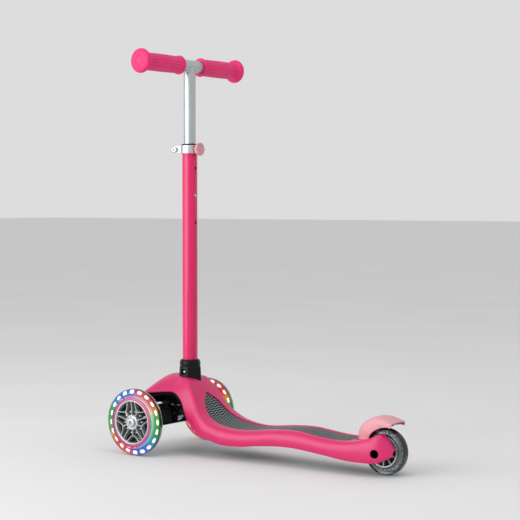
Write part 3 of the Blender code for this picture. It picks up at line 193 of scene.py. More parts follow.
def finish(name, shades, patch, roughness, grain, depth, stretch=(1, 1, 1), **sockets):
    """A surface whose colour and gloss drift between two values, over a fine raised grain.

    patch and grain are sizes in millimetres, depth is the grain's height in millimetres, and
    stretch draws the grain out along an axis. Other sockets of the shader are set as given.
    """
    made = bpy.data.materials.new(name)
    made.use_nodes = True
    tree = made.node_tree
    shader = tree.nodes["Principled BSDF"]
    for socket, value in sockets.items():
        shader.inputs[socket.replace("_", " ")].default_value = value
    place = add(tree, "ShaderNodeTexCoord").outputs["Object"]
    size = add(tree, "ShaderNodeMapping", {
        "Vector": place, "Scale": (1 / MM,) * 3}).outputs["Vector"]
    patches = add(tree, "ShaderNodeTexNoise", {
        "Vector": size, "Scale": 1 / patch, "Detail": 4.0, "Roughness": 0.55}).outputs["Fac"]
    colour = add(tree, "ShaderNodeValToRGB", {"Fac": patches}, [(0.3, shades[0]), (0.7, shades[1])])
    gloss = add(tree, "ShaderNodeMapRange", {
        "Value": patches, "From Min": 0.3, "From Max": 0.7,
        "To Min": roughness[0], "To Max": roughness[1]}).outputs["Result"]
    drawn = add(tree, "ShaderNodeMapping", {"Vector": size, "Scale": stretch}).outputs["Vector"]
    fine = add(tree, "ShaderNodeTexNoise", {
        "Vector": drawn, "Scale": 1 / grain, "Detail": 2.0}).outputs["Fac"]
    raised = add(tree, "ShaderNodeBump", {"Height": fine, "Distance": depth * MM})
    tree.links.new(colour.outputs["Color"], shader.inputs["Base Color"])
    tree.links.new(gloss, shader.inputs["Roughness"])
    tree.links.new(raised.outputs["Normal"], shader.inputs["Normal"])
    return made


# Injection-moulded ABS, coloured through: an even satin gloss with a faint orange peel.
MOULDED_ABS = finish(
    "pink_moulded_abs", ("#cb1260", "#d11765"), 60, (0.38, 0.44), 0.9, 0.008,
    Coat_Weight=0.3, Coat_Roughness=0.34, IOR=1.5, Specular_IOR_Level=0.45)
# Polyester powder coat on an aluminium tube: glossier than the deck, with a rolling peel.
POWDER_COAT = finish(
    "pink_powder_coat", ("#d20a5a", "#d81062"), 45, (0.24, 0.3), 1.6, 0.012,
    Coat_Weight=0.5, Coat_Roughness=0.16, IOR=1.5, Specular_IOR_Level=0.3)
# Drawn and clear-anodised aluminium: bright satin, with fine lines along the tube.
DRAWN_ALUMINIUM = finish(
    "drawn_anodised_aluminium", ("#bcc2c5", "#c6ccd0"), 35, (0.34, 0.42), 0.5, 0.004,
    (1, 1, 0.02), Metallic=1.0, Anisotropic=0.3)
# The same tube lying across, so its lines run the other way.
DRAWN_CROSSBAR = finish(
    "drawn_anodised_crossbar", ("#bcc2c5", "#c6ccd0"), 35, (0.34, 0.42), 0.5, 0.004,
    (1, 0.02, 1), Metallic=1.0, Anisotropic=0.3)
# Die-cast aluminium, vibration-polished: brighter and softer than the tube.
CAST_ALUMINIUM = finish(
    "polished_cast_aluminium", ("#c6cbce", "#d4d8da"), 12, (0.3, 0.4), 0.8, 0.02, Metallic=1.0)
# Bright zinc plate on steel: slightly blue, with a finely mottled gloss.
ZINC_PLATE = finish(
    "zinc_plated_steel", ("#bfc4c9", "#d5d8da"), 6, (0.22, 0.36), 0.4, 0.01, Metallic=1.0)
# Thermoplastic rubber: dry and soft to the light, with a bloom where hands rub it.
GRIP_RUBBER = finish(
    "pink_grip_rubber", ("#de1866", "#e82a76"), 18, (0.4, 0.5), 0.6, 0.03,
    IOR=1.5, Specular_IOR_Level=0.4)
# Pastel ABS: opaque, a little waxy, satin.
PASTEL_ABS = finish(
    "pastel_pink_abs", ("#d4909b", "#dc9ca5"), 40, (0.34, 0.44), 0.9, 0.012,
    Subsurface_Weight=0.08, Subsurface_Radius=(0.004, 0.002, 0.002), IOR=1.52)
# Glass-filled nylon with a spark-eroded mould texture: near black and dull.
TEXTURED_NYLON = finish(
    "black_textured_nylon", ("#050506", "#0a0b0c"), 25, (0.42, 0.58), 0.7, 0.05,
    IOR=1.53, Specular_IOR_Level=0.15)
# Smoother nylon from a polished mould, for the socket and the small buttons.
SATIN_NYLON = finish(
    "black_satin_nylon", ("#030304", "#08090a"), 20, (0.2, 0.28), 0.9, 0.015,
    IOR=1.53, Specular_IOR_Level=0.2)
# Moulded rubber mat: dull charcoal, with a painted highlight on its ridges.
MAT_RUBBER = finish(
    "charcoal_mat_rubber", ("#121517", "#1b1f21"), 14, (0.55, 0.72), 0.5, 0.04,
    IOR=1.5, Specular_IOR_Level=0.35)
# The ridges' tops are painted lighter than the valleys between them: a painted highlight.
MAT_TREE = MAT_RUBBER.node_tree
MAT_COLOUR = MAT_TREE.nodes["Principled BSDF"].inputs["Base Color"]
CREST = add(MAT_TREE, "ShaderNodeAttribute", attribute_name="crest")
CREST_PAINTED_HIGHLIGHT = add(MAT_TREE, "ShaderNodeMix", {
    "Factor": CREST.outputs["Fac"], "A": MAT_COLOUR.links[0].from_socket,
    "B": linear("#7c8588")}, data_type="RGBA")
MAT_TREE.links.new(CREST_PAINTED_HIGHLIGHT.outputs["Result"], MAT_COLOUR)
# Steel coloured nearly as dark as the plastic, as painted shade: the springs in the dark wheel arch
# and the hidden rear axle.
SHADE_DARKENED_STEEL = finish(
    "black_oxide_steel", ("#0c0c0d", "#18191b"), 5, (0.3, 0.42), 0.4, 0.01, Metallic=1.0)
# Polyurethane bushing: dense and slightly shiny.
BUSHING_RUBBER = finish(
    "dark_bushing_urethane", ("#26282a", "#35383a"), 9, (0.42, 0.55), 0.6, 0.02, IOR=1.5)
# Silver-painted nylon of the wheel cores: fine flake, satin.
SILVER_NYLON = finish(
    "silver_painted_nylon", ("#b4b8ba", "#cfd3d4"), 7, (0.3, 0.42), 0.35, 0.012,
    Metallic=0.65, Coat_Weight=0.2)
# Black moulding behind the front cores' ribs, in shade; the same near-black, laid on the floors of
# the rear core's pockets, is painted shade.
BLACK_CORE_AND_POCKET_SHADE = finish(
    "black_core_nylon", ("#050506", "#0d0e10"), 8, (0.4, 0.55), 0.6, 0.03,
    IOR=1.53, Specular_IOR_Level=0.2)
# Clear acrylic light ring over a pink reflector.
LIGHT_RING = finish(
    "pink_acrylic_ring", ("#b23a86", "#cf3f78"), 10, (0.12, 0.2), 1.2, 0.01,
    Coat_Weight=0.6, Coat_Roughness=0.06, IOR=1.49)
# White polycarbonate lens of a small lamp.
LAMP_LENS = finish(
    "white_lamp_lens", ("#eef2ee", "#ffffff"), 3, (0.15, 0.25), 0.6, 0.01,
    Emission_Color=linear("#ffffff"), Emission_Strength=0.35, IOR=1.58)


def wheel_spot(tree, hub):
    """Where a spot is from a wheel's hub."""
    place = add(tree, "ShaderNodeTexCoord").outputs["Object"]
    centred = add(tree, "ShaderNodeVectorMath", {0: place, 1: hub}, operation="SUBTRACT")
    return add(tree, "ShaderNodeSeparateXYZ", {"Vector": centred.outputs["Vector"]}).outputs


def glow_share(tree, spot):
    """How far round a wheel a spot is, from 0 to 1 twice in a turn."""
    across = add(tree, "ShaderNodeMath", {0: spot["X"], 1: -1.0}, operation="MULTIPLY")
    turn = add(tree, "ShaderNodeMath", {
        0: across.outputs["Value"], 1: spot["Z"]}, operation="ARCTAN2")
    half_turns = add(tree, "ShaderNodeMath", {
        0: turn.outputs["Value"], 1: 1 / math.pi}, operation="MULTIPLY")
    share = add(tree, "ShaderNodeMath", {0: half_turns.outputs["Value"]}, operation="FRACT")
    return share.outputs["Value"]


def wheel_radius(tree, spot):
    """How far a spot is from its wheel's axle, in millimetres."""
    flat = add(tree, "ShaderNodeCombineXYZ", {"X": spot["X"], "Z": spot["Z"]})
    length = add(tree, "ShaderNodeVectorMath", {0: flat.outputs["Vector"]}, operation="LENGTH")
    return add(tree, "ShaderNodeMath", {
        0: length.outputs["Value"], 1: 1 / MM}, operation="MULTIPLY").outputs["Value"]


def cast_urethane(name, hub, shades, tread, reach):
    """Clear cast polyurethane, its tread darkened between two radii as painted shade of the tyre's
    edge.
    """
    made = finish(
        name, shades, 30, (0.04, 0.08), 1.5, 0.008, Transmission_Weight=0.97, IOR=1.38,
        Specular_IOR_Level=0.35)
    tree = made.node_tree
    shader = tree.nodes["Principled BSDF"]
    radius = wheel_radius(tree, wheel_spot(tree, hub))
    # Painted shade: the tread is coloured darker between the two radii.
    painted_light_share = add(tree, "ShaderNodeMapRange", {
        "Value": radius, "From Min": reach[0], "From Max": reach[1]}).outputs["Result"]
    body = shader.inputs["Base Color"].links[0].from_socket
    mixed = add(tree, "ShaderNodeMix", {
        "Factor": painted_light_share, "A": body, "B": linear(tread)}, data_type="RGBA").outputs["Result"]
    tree.links.new(mixed, shader.inputs["Base Color"])
    return made


# Smoky urethane of the rear tyre: grey in the wall, with painted shade making it nearly black round
# the tread.
SMOKY_URETHANE = cast_urethane(
    "smoky_cast_urethane", REAR_AXLE, ("#98a1a5", "#aab2b6"), "#3c4448", (36.0, 38.5))


def lit_flange(name, hub):
    """Frosted acrylic flange inside a tyre, lit by red, green and blue lamps in turn."""
    made = finish(name, ("#20242a", "#2c3036"), 12, (0.3, 0.4), 1.5, 0.015, IOR=1.49)
    tree = made.node_tree
    shader = tree.nodes["Principled BSDF"]
    spot = wheel_spot(tree, hub)
    share, radius = glow_share(tree, spot), wheel_radius(tree, spot)
    colour = add(tree, "ShaderNodeValToRGB", {"Fac": share}, [
        (0.0, "#6c1490"), (0.05, "#cc0428"), (0.12, "#d60410"), (0.29, "#dc140a"),
        (0.35, "#d8a000"), (0.41, "#40a800"), (0.5, "#009c20"), (0.63, "#009430"), (0.7, "#0090a8"),
        (0.77, "#0060c8"), (0.93, "#0050c0"), (1.0, "#6c1490")]).outputs["Color"]
    # Towards the flange's inner edge the glow turns pale: a painted reflection of the white
    # surroundings on the clear tyre.
    pale_painted_reflection = add(tree, "ShaderNodeValToRGB", {"Fac": share}, [
        (0.0, "#c4ccf4"), (0.2, "#f4d0e0"), (0.36, "#f0eef4"), (0.53, "#a0dcd0"), (0.8, "#6cc4ec"),
        (1.0, "#c4ccf4")]).outputs["Color"]
    inward = add(tree, "ShaderNodeMapRange", {
        "Value": radius, "From Min": 48.8, "From Max": 46.0}).outputs["Result"]
    lit = add(tree, "ShaderNodeMix", {
        "Factor": inward, "A": colour, "B": pale_painted_reflection}, data_type="RGBA").outputs["Result"]
    tree.links.new(lit, shader.inputs["Emission Color"])
    shader.inputs["Emission Strength"].default_value = 0.85
    return made


def cell_light(name, hub):
    """Lens of a lit cell: nearly white, with a breath of the colour round it."""
    made = finish(name, ("#f4f6f4", "#ffffff"), 4, (0.15, 0.25), 0.8, 0.01, IOR=1.51)
    tree = made.node_tree
    shader = tree.nodes["Principled BSDF"]
    share = glow_share(tree, wheel_spot(tree, hub))
    colour = add(tree, "ShaderNodeValToRGB", {"Fac": share}, [
        (0.0, "#f2dcff"), (0.08, "#ffe2d8"), (0.3, "#ffe8c8"), (0.4, "#f2ffc4"), (0.55, "#d2ffe0"),
        (0.68, "#d8fff2"), (0.8, "#d2f4ff"), (0.95, "#dcecff"), (1.0, "#f2dcff")])
    tree.links.new(colour.outputs["Color"], shader.inputs["Emission Color"])
    shader.inputs["Emission Strength"].default_value = 1.0
    return made


# Shapes -------------------------------------------------------------------------------------------


def mesh_of(name, built):
    """A bmesh as a mesh, with its faces pointing outwards."""
    mesh = bpy.data.meshes.new(name)
    bmesh.ops.recalc_face_normals(built, faces=built.faces)
    built.to_mesh(mesh)
    built.free()
    return mesh


def soft_shading(mesh, angle=32):
    mesh.shade_smooth()
    mesh.set_sharp_from_angle(angle=math.radians(angle))
    return mesh


def frame_of(centre, axis, upright=UP):
    """A place with its Z along an axis and its Y as near upright as it can be."""
    axis = Vector(axis).normalized()
    across = Vector(upright).cross(axis)
    across = across.normalized() if across.length > 1e-4 else FORWARD.copy()
    level = axis.cross(across)
    place = Matrix((across, level, axis)).transposed().to_4x4()
    place.translation = centre
    return place


def softened(points, steps=3):
    """A closed line with rounded corners; each point is (x, y, how far the rounding reaches)."""
    line = []
    for index, (x, y, reach) in enumerate(points):
        here = Vector((x, y))
        if not reach:
            line.append((x, y))
            continue
        before = Vector(points[index - 1][:2]) - here
        after = Vector(points[(index + 1) % len(points)][:2]) - here
        start = here + before.normalized() * min(reach, before.length * 0.48)
        end = here + after.normalized() * min(reach, after.length * 0.48)
        for step in range(steps + 1):
            share = step / steps
            spot = start.lerp(here, share).lerp(here.lerp(end, share), share)
            line.append((spot.x, spot.y))
    return line


def turned(name, profile, place, steps=96):
    """A closed profile of (radius, height) points in millimetres, turned about a place's Z."""
    built = bmesh.new()
    rings = []
    for radius, height in profile:
        if radius < 1e-4:
            rings.append([built.verts.new((0, 0, height * MM))] * steps)
            continue
        rings.append([
            built.verts.new((
                radius * MM * math.cos(math.tau * step / steps),
                radius * MM * math.sin(math.tau * step / steps), height * MM))
            for step in range(steps)])
    for near, far in zip(rings, rings[1:] + rings[:1]):
        for step in range(steps):
            after = (step + 1) % steps
            corners = list(dict.fromkeys((near[step], near[after], far[after], far[step])))
            if len(corners) > 2:
                built.faces.new(corners)
    bmesh.ops.transform(built, matrix=place, verts=built.verts)
    return mesh_of(name, built)


def bridged(built, rings, closed=True):
    """Faces between each ring of corners and the next."""
    count = len(rings[0])
    for near, far in zip(rings, rings[1:]):
        for index in range(count if closed else count - 1):
            after = (index + 1) % count
            built.faces.new((near[index], near[after], far[after], far[index]))


def stacked(name, rings, place=None):
    """A closed solid over rings of points in metres, with a flat face at each end."""
    built = bmesh.new()
    made = [[built.verts.new(point) for point in ring] for ring in rings]
    bridged(built, made)
    built.faces.new(made[0])
    built.faces.new(made[-1])
    if place:
        bmesh.ops.transform(built, matrix=place, verts=built.verts)
    return mesh_of(name, built)


def solid(name, outline, low, high, place):
    """A flat outline in millimetres, given thickness along a place's Z."""
    spots = [Vector(point) for point in outline]
    rings = [
        [(spot.x * MM, spot.y * MM, height * MM) for spot in spots] for height in (low, high)]
    return stacked(name, rings, place)


def block(name, low, high):
    """A box between two corners in metres."""
    built = bmesh.new()
    bmesh.ops.create_cube(built, size=1)
    bmesh.ops.scale(built, vec=Vector(high) - Vector(low), verts=built.verts)
    bmesh.ops.translate(built, vec=(Vector(low) + Vector(high)) / 2, verts=built.verts)
    return mesh_of(name, built)


def rod(name, radius, low, high, place, steps=48):
    return turned(name, [(0, low), (radius, low), (radius, high), (0, high)], place, steps)


def hexagon(across):
    corner = across / 2 / math.cos(math.pi / 6)
    turns = [math.tau * k / 6 for k in range(6)]
    return [(corner * math.cos(turn), corner * math.sin(turn)) for turn in turns]


def joined(name, *meshes):
    """Several meshes as one, without joining their faces."""
    built = bmesh.new()
    for mesh in meshes:
        built.from_mesh(mesh)
    whole = bpy.data.meshes.new(name)
    built.to_mesh(whole)
    built.free()
    return whole


def worked(mesh, *jobs):
    """A mesh after modifiers, each given as (kind, settings)."""
    holder = bpy.data.objects.new("workpiece", mesh)
    bpy.context.scene.collection.objects.link(holder)
    for kind, settings in jobs:
        modifier = holder.modifiers.new(kind, kind)
        for name, value in settings.items():
            setattr(modifier, name, value)
    depsgraph = bpy.context.evaluated_depsgraph_get()
    done = bpy.data.meshes.new_from_object(holder.evaluated_get(depsgraph))
    bpy.data.objects.remove(holder, do_unlink=True)
    return done


def carved(mesh, operation, *tools):
    """A mesh after cuts or unions with others."""
    holders = []
    jobs = []
    for tool in tools:
        holder = bpy.data.objects.new("tool", tool)
        bpy.context.scene.collection.objects.link(holder)
        holders.append(holder)
        jobs.append(("BOOLEAN", {"operation": operation, "solver": "EXACT", "object": holder}))
    done = worked(mesh, *jobs)
    for holder in holders:
        bpy.data.objects.remove(holder, do_unlink=True)
    return done


def eased(width, segments=2, angle=40):
    """The job of breaking sharp edges, its width in millimetres."""
    return ("BEVEL", {
        "width": width * MM, "segments": segments, "limit_method": "ANGLE",
        "angle_limit": math.radians(angle), "use_clamp_overlap": True})


def piece(name, mesh, surface, body, slot, *nodes, angle=32):
    """A finished mesh as a piece that rides on a body and stands for CAD nodes."""
    if surface:
        mesh.materials.clear()
        mesh.materials.append(surface)
        mesh.polygons.foreach_set("material_index", [0] * len(mesh.polygons))
    mesh.name = name
    made = bpy.data.objects.new(name, soft_shading(mesh, angle))
    bpy.context.scene.collection.objects.link(made)
    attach(made, body)
    if nodes:
        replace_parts(made, *nodes)
    return made


# Geometry trees -----------------------------------------------------------------------------------


def new_tree(name, **inputs):
    """A geometry tree with named inputs, and its input and output nodes."""
    tree = bpy.data.node_groups.new(name, "GeometryNodeTree")
    tree.interface.new_socket("Geometry", in_out="INPUT", socket_type="NodeSocketGeometry")
    for label, kind in inputs.items():
        tree.interface.new_socket(
            label.replace("_", " "), in_out="INPUT", socket_type="NodeSocket" + kind)
    tree.interface.new_socket("Geometry", in_out="OUTPUT", socket_type="NodeSocketGeometry")
    return tree, add(tree, "NodeGroupInput").outputs, add(tree, "NodeGroupOutput").inputs


def close_tree(tree, given, result, geometry):
    """Realise what a tree has made, set its material and hand it out."""
    plain = add(tree, "GeometryNodeRealizeInstances", {"Geometry": geometry})
    coated = add(tree, "GeometryNodeSetMaterial", {
        "Geometry": plain.outputs["Geometry"], "Material": given["Finish"]})
    tree.links.new(coated.outputs["Geometry"], result["Geometry"])
    return tree


def grown(tree, mesh, **values):
    """The plain mesh that a tree makes from a mesh, with the tree's inputs set by name."""
    holder = bpy.data.objects.new("seed", mesh)
    bpy.context.scene.collection.objects.link(holder)
    modifier = holder.modifiers.new(tree.name, "NODES")
    modifier.node_group = tree
    for socket in tree.interface.items_tree:
        label = socket.name.replace(" ", "_")
        if socket.in_out == "INPUT" and label in values:
            modifier[socket.identifier] = values[label]
    depsgraph = bpy.context.evaluated_depsgraph_get()
    done = bpy.data.meshes.new_from_object(holder.evaluated_get(depsgraph))
    bpy.data.objects.remove(holder, do_unlink=True)
    return done


def repeat_tree():
    """Copies of a shape turned about Z."""
    tree, given, result = new_tree(
        "repeat_round", Count="Int", Step="Float", Finish="Material")
    spots = add(tree, "GeometryNodeMeshLine", {"Count": given["Count"], "Offset": (0, 0, 0)})
    turn = add(tree, "ShaderNodeMath", {
        0: add(tree, "GeometryNodeInputIndex").outputs["Index"], 1: given["Step"]},
        operation="MULTIPLY")
    about = add(tree, "ShaderNodeCombineXYZ", {"Z": turn.outputs["Value"]})
    copies = add(tree, "GeometryNodeInstanceOnPoints", {
        "Points": spots.outputs["Mesh"], "Instance": given["Geometry"],
        "Rotation": about.outputs["Vector"]})
    return close_tree(tree, given, result, copies.outputs["Instances"])


def flute_tree():
    """Grooves along a turned piece: the surface moves in and out as it goes round Z."""
    tree, given, result = new_tree(
        "flutes", Flutes="Float", Depth="Float", Low="Float", High="Float", Fade="Float",
        Finish="Material")
    spot = add(tree, "ShaderNodeSeparateXYZ", {
        "Vector": add(tree, "GeometryNodeInputPosition").outputs["Position"]}).outputs
    turn = add(tree, "ShaderNodeMath", {0: spot["Y"], 1: spot["X"]}, operation="ARCTAN2")
    phase = add(tree, "ShaderNodeMath", {
        0: turn.outputs["Value"], 1: given["Flutes"]}, operation="MULTIPLY")
    wave = add(tree, "ShaderNodeMath", {0: phase.outputs["Value"]}, operation="COSINE")
    depth = add(tree, "ShaderNodeMath", {
        0: wave.outputs["Value"], 1: given["Depth"]}, operation="MULTIPLY")
    for edge, sign in (("Low", 1), ("High", -1)):
        past = add(tree, "ShaderNodeMath", {0: spot["Z"], 1: given[edge]}, operation="SUBTRACT")
        inside = add(tree, "ShaderNodeMath", {
            0: past.outputs["Value"], 1: sign}, operation="MULTIPLY")
        share = add(tree, "ShaderNodeMapRange", {
            "Value": inside.outputs["Value"], "From Min": 0.0, "From Max": given["Fade"]},
            interpolation_type="SMOOTHSTEP")
        depth = add(tree, "ShaderNodeMath", {
            0: depth.outputs["Value"], 1: share.outputs["Result"]}, operation="MULTIPLY")
    outward = add(tree, "ShaderNodeVectorMath", {
        0: add(tree, "ShaderNodeCombineXYZ", {"X": spot["X"], "Y": spot["Y"]}).outputs["Vector"]},
        operation="NORMALIZE")
    shift = add(tree, "ShaderNodeVectorMath", {
        0: outward.outputs["Vector"], "Scale": depth.outputs["Value"]}, operation="SCALE")
    moved = add(tree, "GeometryNodeSetPosition", {
        "Geometry": given["Geometry"], "Offset": shift.outputs["Vector"]})
    return close_tree(tree, given, result, moved.outputs["Geometry"])


def ridge_tree():
    """Wavy ridges across the mat, raised along its surface's own direction."""
    tree, given, result = new_tree(
        "wavy_ridges", Pitch="Float", Height="Float", Wave="Float", Sway="Float", Finish="Material")
    along, across, face = (
        add(tree, "GeometryNodeInputNamedAttribute", {"Name": name}, data_type="FLOAT")
        .outputs["Attribute"] for name in ("along", "across", "face"))
    swing = add(tree, "ShaderNodeMath", {0: across, 1: given["Wave"]}, operation="DIVIDE")
    swing = add(tree, "ShaderNodeMath", {
        0: swing.outputs["Value"], 1: math.tau}, operation="MULTIPLY")
    swing = add(tree, "ShaderNodeMath", {0: swing.outputs["Value"]}, operation="SINE")
    place = add(tree, "ShaderNodeMath", {
        0: swing.outputs["Value"], 1: given["Sway"], 2: along}, operation="MULTIPLY_ADD")
    place = add(tree, "ShaderNodeMath", {
        0: place.outputs["Value"], 1: given["Pitch"]}, operation="DIVIDE")
    place = add(tree, "ShaderNodeMath", {
        0: place.outputs["Value"], 1: math.tau}, operation="MULTIPLY")
    crest = add(tree, "ShaderNodeMath", {0: place.outputs["Value"]}, operation="SINE")
    crest = add(tree, "ShaderNodeMapRange", {
        "Value": crest.outputs["Value"], "From Min": -0.55, "From Max": 0.55, "To Min": -1.0,
        "To Max": 1.0}, interpolation_type="SMOOTHSTEP")
    lift = add(tree, "ShaderNodeMath", {
        0: crest.outputs["Result"], 1: given["Height"]}, operation="MULTIPLY")
    lift = add(tree, "ShaderNodeMath", {0: lift.outputs["Value"], 1: face}, operation="MULTIPLY")
    shift = add(tree, "ShaderNodeVectorMath", {
        0: add(tree, "GeometryNodeInputNormal").outputs["Normal"],
        "Scale": lift.outputs["Value"]}, operation="SCALE")
    moved = add(tree, "GeometryNodeSetPosition", {
        "Geometry": given["Geometry"], "Offset": shift.outputs["Vector"]})
    # The crests' share of the painted highlight, none on the mat's rim and ends.
    painted_light_share = add(tree, "ShaderNodeMapRange", {"Value": crest.outputs["Result"]}).outputs["Result"]
    painted_light_share = add(tree, "ShaderNodeMath", {0: painted_light_share, 1: face}, operation="MULTIPLY").outputs["Value"]
    marked = add(tree, "GeometryNodeStoreNamedAttribute", {
        "Geometry": moved.outputs["Geometry"], "Name": "crest", "Value": painted_light_share})
    return close_tree(tree, given, result, marked.outputs["Geometry"])


def coil_tree():
    """A round-wire coil spring standing on the origin."""
    tree, given, result = new_tree(
        "coil_spring", Turns="Float", Radius="Float", Length="Float", Wire="Float",
        Finish="Material")
    line = add(tree, "GeometryNodeCurveSpiral", {
        "Resolution": 36, "Rotations": given["Turns"], "Start Radius": given["Radius"],
        "End Radius": given["Radius"], "Height": given["Length"]})
    section = add(tree, "GeometryNodeCurvePrimitiveCircle", {
        "Resolution": 12, "Radius": given["Wire"]}, mode="RADIUS")
    wire = add(tree, "GeometryNodeCurveToMesh", {
        "Curve": line.outputs["Curve"], "Profile Curve": section.outputs["Curve"],
        "Fill Caps": True})
    return close_tree(tree, given, result, wire.outputs["Mesh"])


REPEAT = repeat_tree()
FLUTES = flute_tree()
RIDGES = ridge_tree()
COIL = coil_tree()


# Deck surface -------------------------------------------------------------------------------------


def through(points, place):
    """A spot on the smooth curve through a list of points; place counts the points."""
    index = min(int(place), len(points) - 2)
    share = place - index
    near = points[max(index - 1, 0)]
    start, end = points[index], points[index + 1]
    far = points[min(index + 2, len(points) - 1)]
    return (start * 2 + (end - near) * share
            + (near * 2 - start * 5 + end * 4 - far) * share ** 2
            + (start * 3 - near - end * 3 + far) * share ** 3) * 0.5


def deck_sections():
    """Half sections of the deck as four points in metres."""
    sections = []
    for axle, rows in ((FRONT_AXLE, FRONT_SECTIONS), (REAR_AXLE, REAR_SECTIONS)):
        for top, crease, side, edge, flare in rows:
            points = [Vector((top[0], 0, top[1])), Vector(crease), Vector(side), Vector(edge)]
            points = [axle + point * MM for point in points]
            points[3].y += (WING_TIP - points[3].y) * flare
            sections.append(points)
    return sections


SECTIONS = deck_sections()
CREASE_REACH = 2.4 * MM             # how far the rounding of the crease goes to each side


def half_line(place):
    """The deck's outline at a place along it, from the middle of its top to its lower edge."""
    top, crease, side, edge = (
        through([section[index] for section in SECTIONS], place) for index in range(4))

    def crown(share):
        return Vector((
            top.x + (crease.x - top.x) * share ** 2, crease.y * share,
            top.z + (crease.z - top.z) * share ** 2))

    def flank(share):
        return (crease * (1 - share) * (1 - 2 * share) + side * 4 * share * (1 - share)
                + edge * share * (2 * share - 1))

    last_crown = 1 - min(0.4, CREASE_REACH / max(crease.y, MM))
    first_flank = min(0.3, CREASE_REACH / max((edge - crease).length, MM))
    line = [crown(last_crown * step / 7) for step in range(7)]
    start, end = crown(last_crown), flank(first_flank)
    for step in range(6):
        share = step / 5
        line.append(start.lerp(crease, share).lerp(crease.lerp(end, share), share))
    line += [flank(first_flank + (1 - first_flank) * step / 7) for step in range(1, 8)]
    return line


def mirrored(line):
    """A full row from the right side to the left, from a left half that starts in the middle."""
    return [Vector((point.x, -point.y, point.z)) for point in line[:0:-1]] + line


def outward(rows):
    """Directions out of a surface given as rows."""
    facing = []
    for index, row in enumerate(rows):
        before, after = rows[max(index - 1, 0)], rows[min(index + 1, len(rows) - 1)]
        line = []
        for column in range(len(row)):
            ahead = after[column] - before[column]
            aside = row[min(column + 1, len(row) - 1)] - row[max(column - 1, 0)]
            line.append(aside.cross(ahead).normalized())
        facing.append(line)
    return facing


def sheet_of(name, rows):
    """An open sheet across rows of points."""
    built = bmesh.new()
    made = [[built.verts.new(point) for point in row] for row in rows]
    bridged(built, made, closed=False)
    return mesh_of(name, built)


def loft_of(name, rows):
    """A closed skin over rings of points, its ends closed with rungs."""
    built = bmesh.new()
    made = [[built.verts.new(point) for point in row] for row in rows]
    bridged(built, made)
    count = len(rows[0])
    for ring in (made[0], made[-1]):
        for column in range((count - 1) // 2):
            facing = count - 1 - column
            rung = [ring[column], ring[column + 1], ring[facing - 1], ring[facing]]
            rung = list(dict.fromkeys(rung))
            if len(rung) > 2:
                built.faces.new(rung)
    return mesh_of(name, built)


STEPS = 6                           # rows of the deck's surface for each of its sections
DECK_END = len(SECTIONS) - 1
DECK_ROWS = [mirrored(half_line(step / STEPS)) for step in range(DECK_END * STEPS + 1)]
DECK_FACING = outward(DECK_ROWS)


def socket_plan(grow=0.0):
    """Teardrop plan of the stem's socket about the stem, in millimetres."""
    front, back, back_x = 20 + grow, 4.5 + grow, -19.5
    lean = math.asin((front - back) / -back_x)
    turn = math.pi / 2 + lean
    points = []
    for index in range(49):
        angle = -turn + 2 * turn * index / 48
        points.append((front * math.cos(angle), front * math.sin(angle)))
    for index in range(13):
        angle = turn + 2 * (math.pi - turn) * index / 12
        points.append((back_x + back * math.cos(angle), back * math.sin(angle)))
    return points


STEM = Matrix.Translation((STEM_X, 0, 0))


def wheel_slot():
    """The space between the fork arms."""
    return block(
        "wheel_slot", (REAR_AXLE.x - 0.09, -0.016, -0.02), (REAR_AXLE.x + 0.053, 0.016, 0.13))


def mat_half_width(place):
    """Half the mat's width at a place along the deck, rounded off at its tip and its tail."""
    share = place - MAT_START
    widths = [Vector((width * MM, 0, 0)) for width in MAT_HALF_WIDTHS]
    tip = min(1.0, max(0.0, (share + 0.04) / 0.9))
    tail = min(1.0, max(0.0, (len(widths) - 1 - share + 0.02) / 0.35))
    return through(widths, share).x * math.sqrt(tip * (2 - tip)) * (0.86 + 0.14 * math.sqrt(tail))


def deck_point(place, across, depth):
    """A spot at a distance from the deck's middle line, moved out of its surface by a depth."""
    number = place * STEPS
    index = min(int(number), len(DECK_ROWS) - 2)
    share = number - index
    centre = len(DECK_ROWS[0]) // 2
    spots = []
    for row, facing in zip(DECK_ROWS[index:index + 2], DECK_FACING[index:index + 2]):
        column = centre
        while column < len(row) - 2 and row[column + 1].y < abs(across):
            column += 1
        near, far = row[column], row[column + 1]
        part = (abs(across) - near.y) / max(far.y - near.y, 1e-9)
        spots.append(near.lerp(far, part) + facing[column].lerp(facing[column + 1], part) * depth)
    spot = spots[0].lerp(spots[1], share)
    return Vector((spot.x, math.copysign(spot.y, across), spot.z))


def mat_rows(depth, columns, steps, grow=0.0):
    """Rows of the mat at a depth, from its right to its left edge."""
    last = len(MAT_HALF_WIDTHS) - 1
    rows = []
    for step in range(steps + 1):
        place = MAT_START + last * step / steps
        half = mat_half_width(place) + grow
        row = []
        for column in range(columns + 1):
            share = 2 * column / columns - 1
            row.append(deck_point(place, half * share if share else 1e-7, depth))
        rows.append(row)
    return rows


def mat_recess():
    """The hollow that the mat lies in, as a tool."""
    top, low = (mat_rows(depth * MM, 12, 78, MAT_GAP * MM) for depth in (5, -1.25))
    lead = (top[0][6] - top[1][6]).normalized() * MAT_GAP * MM
    tail = (top[-1][6] - top[-2][6]).normalized() * MAT_GAP * MM
    rows = [over + under[::-1] for over, under in zip(top, low)]
    rows[0] = [point + lead for point in rows[0]]
    rows[-1] = [point + tail for point in rows[-1]]
    return loft_of("mat_recess", rows)


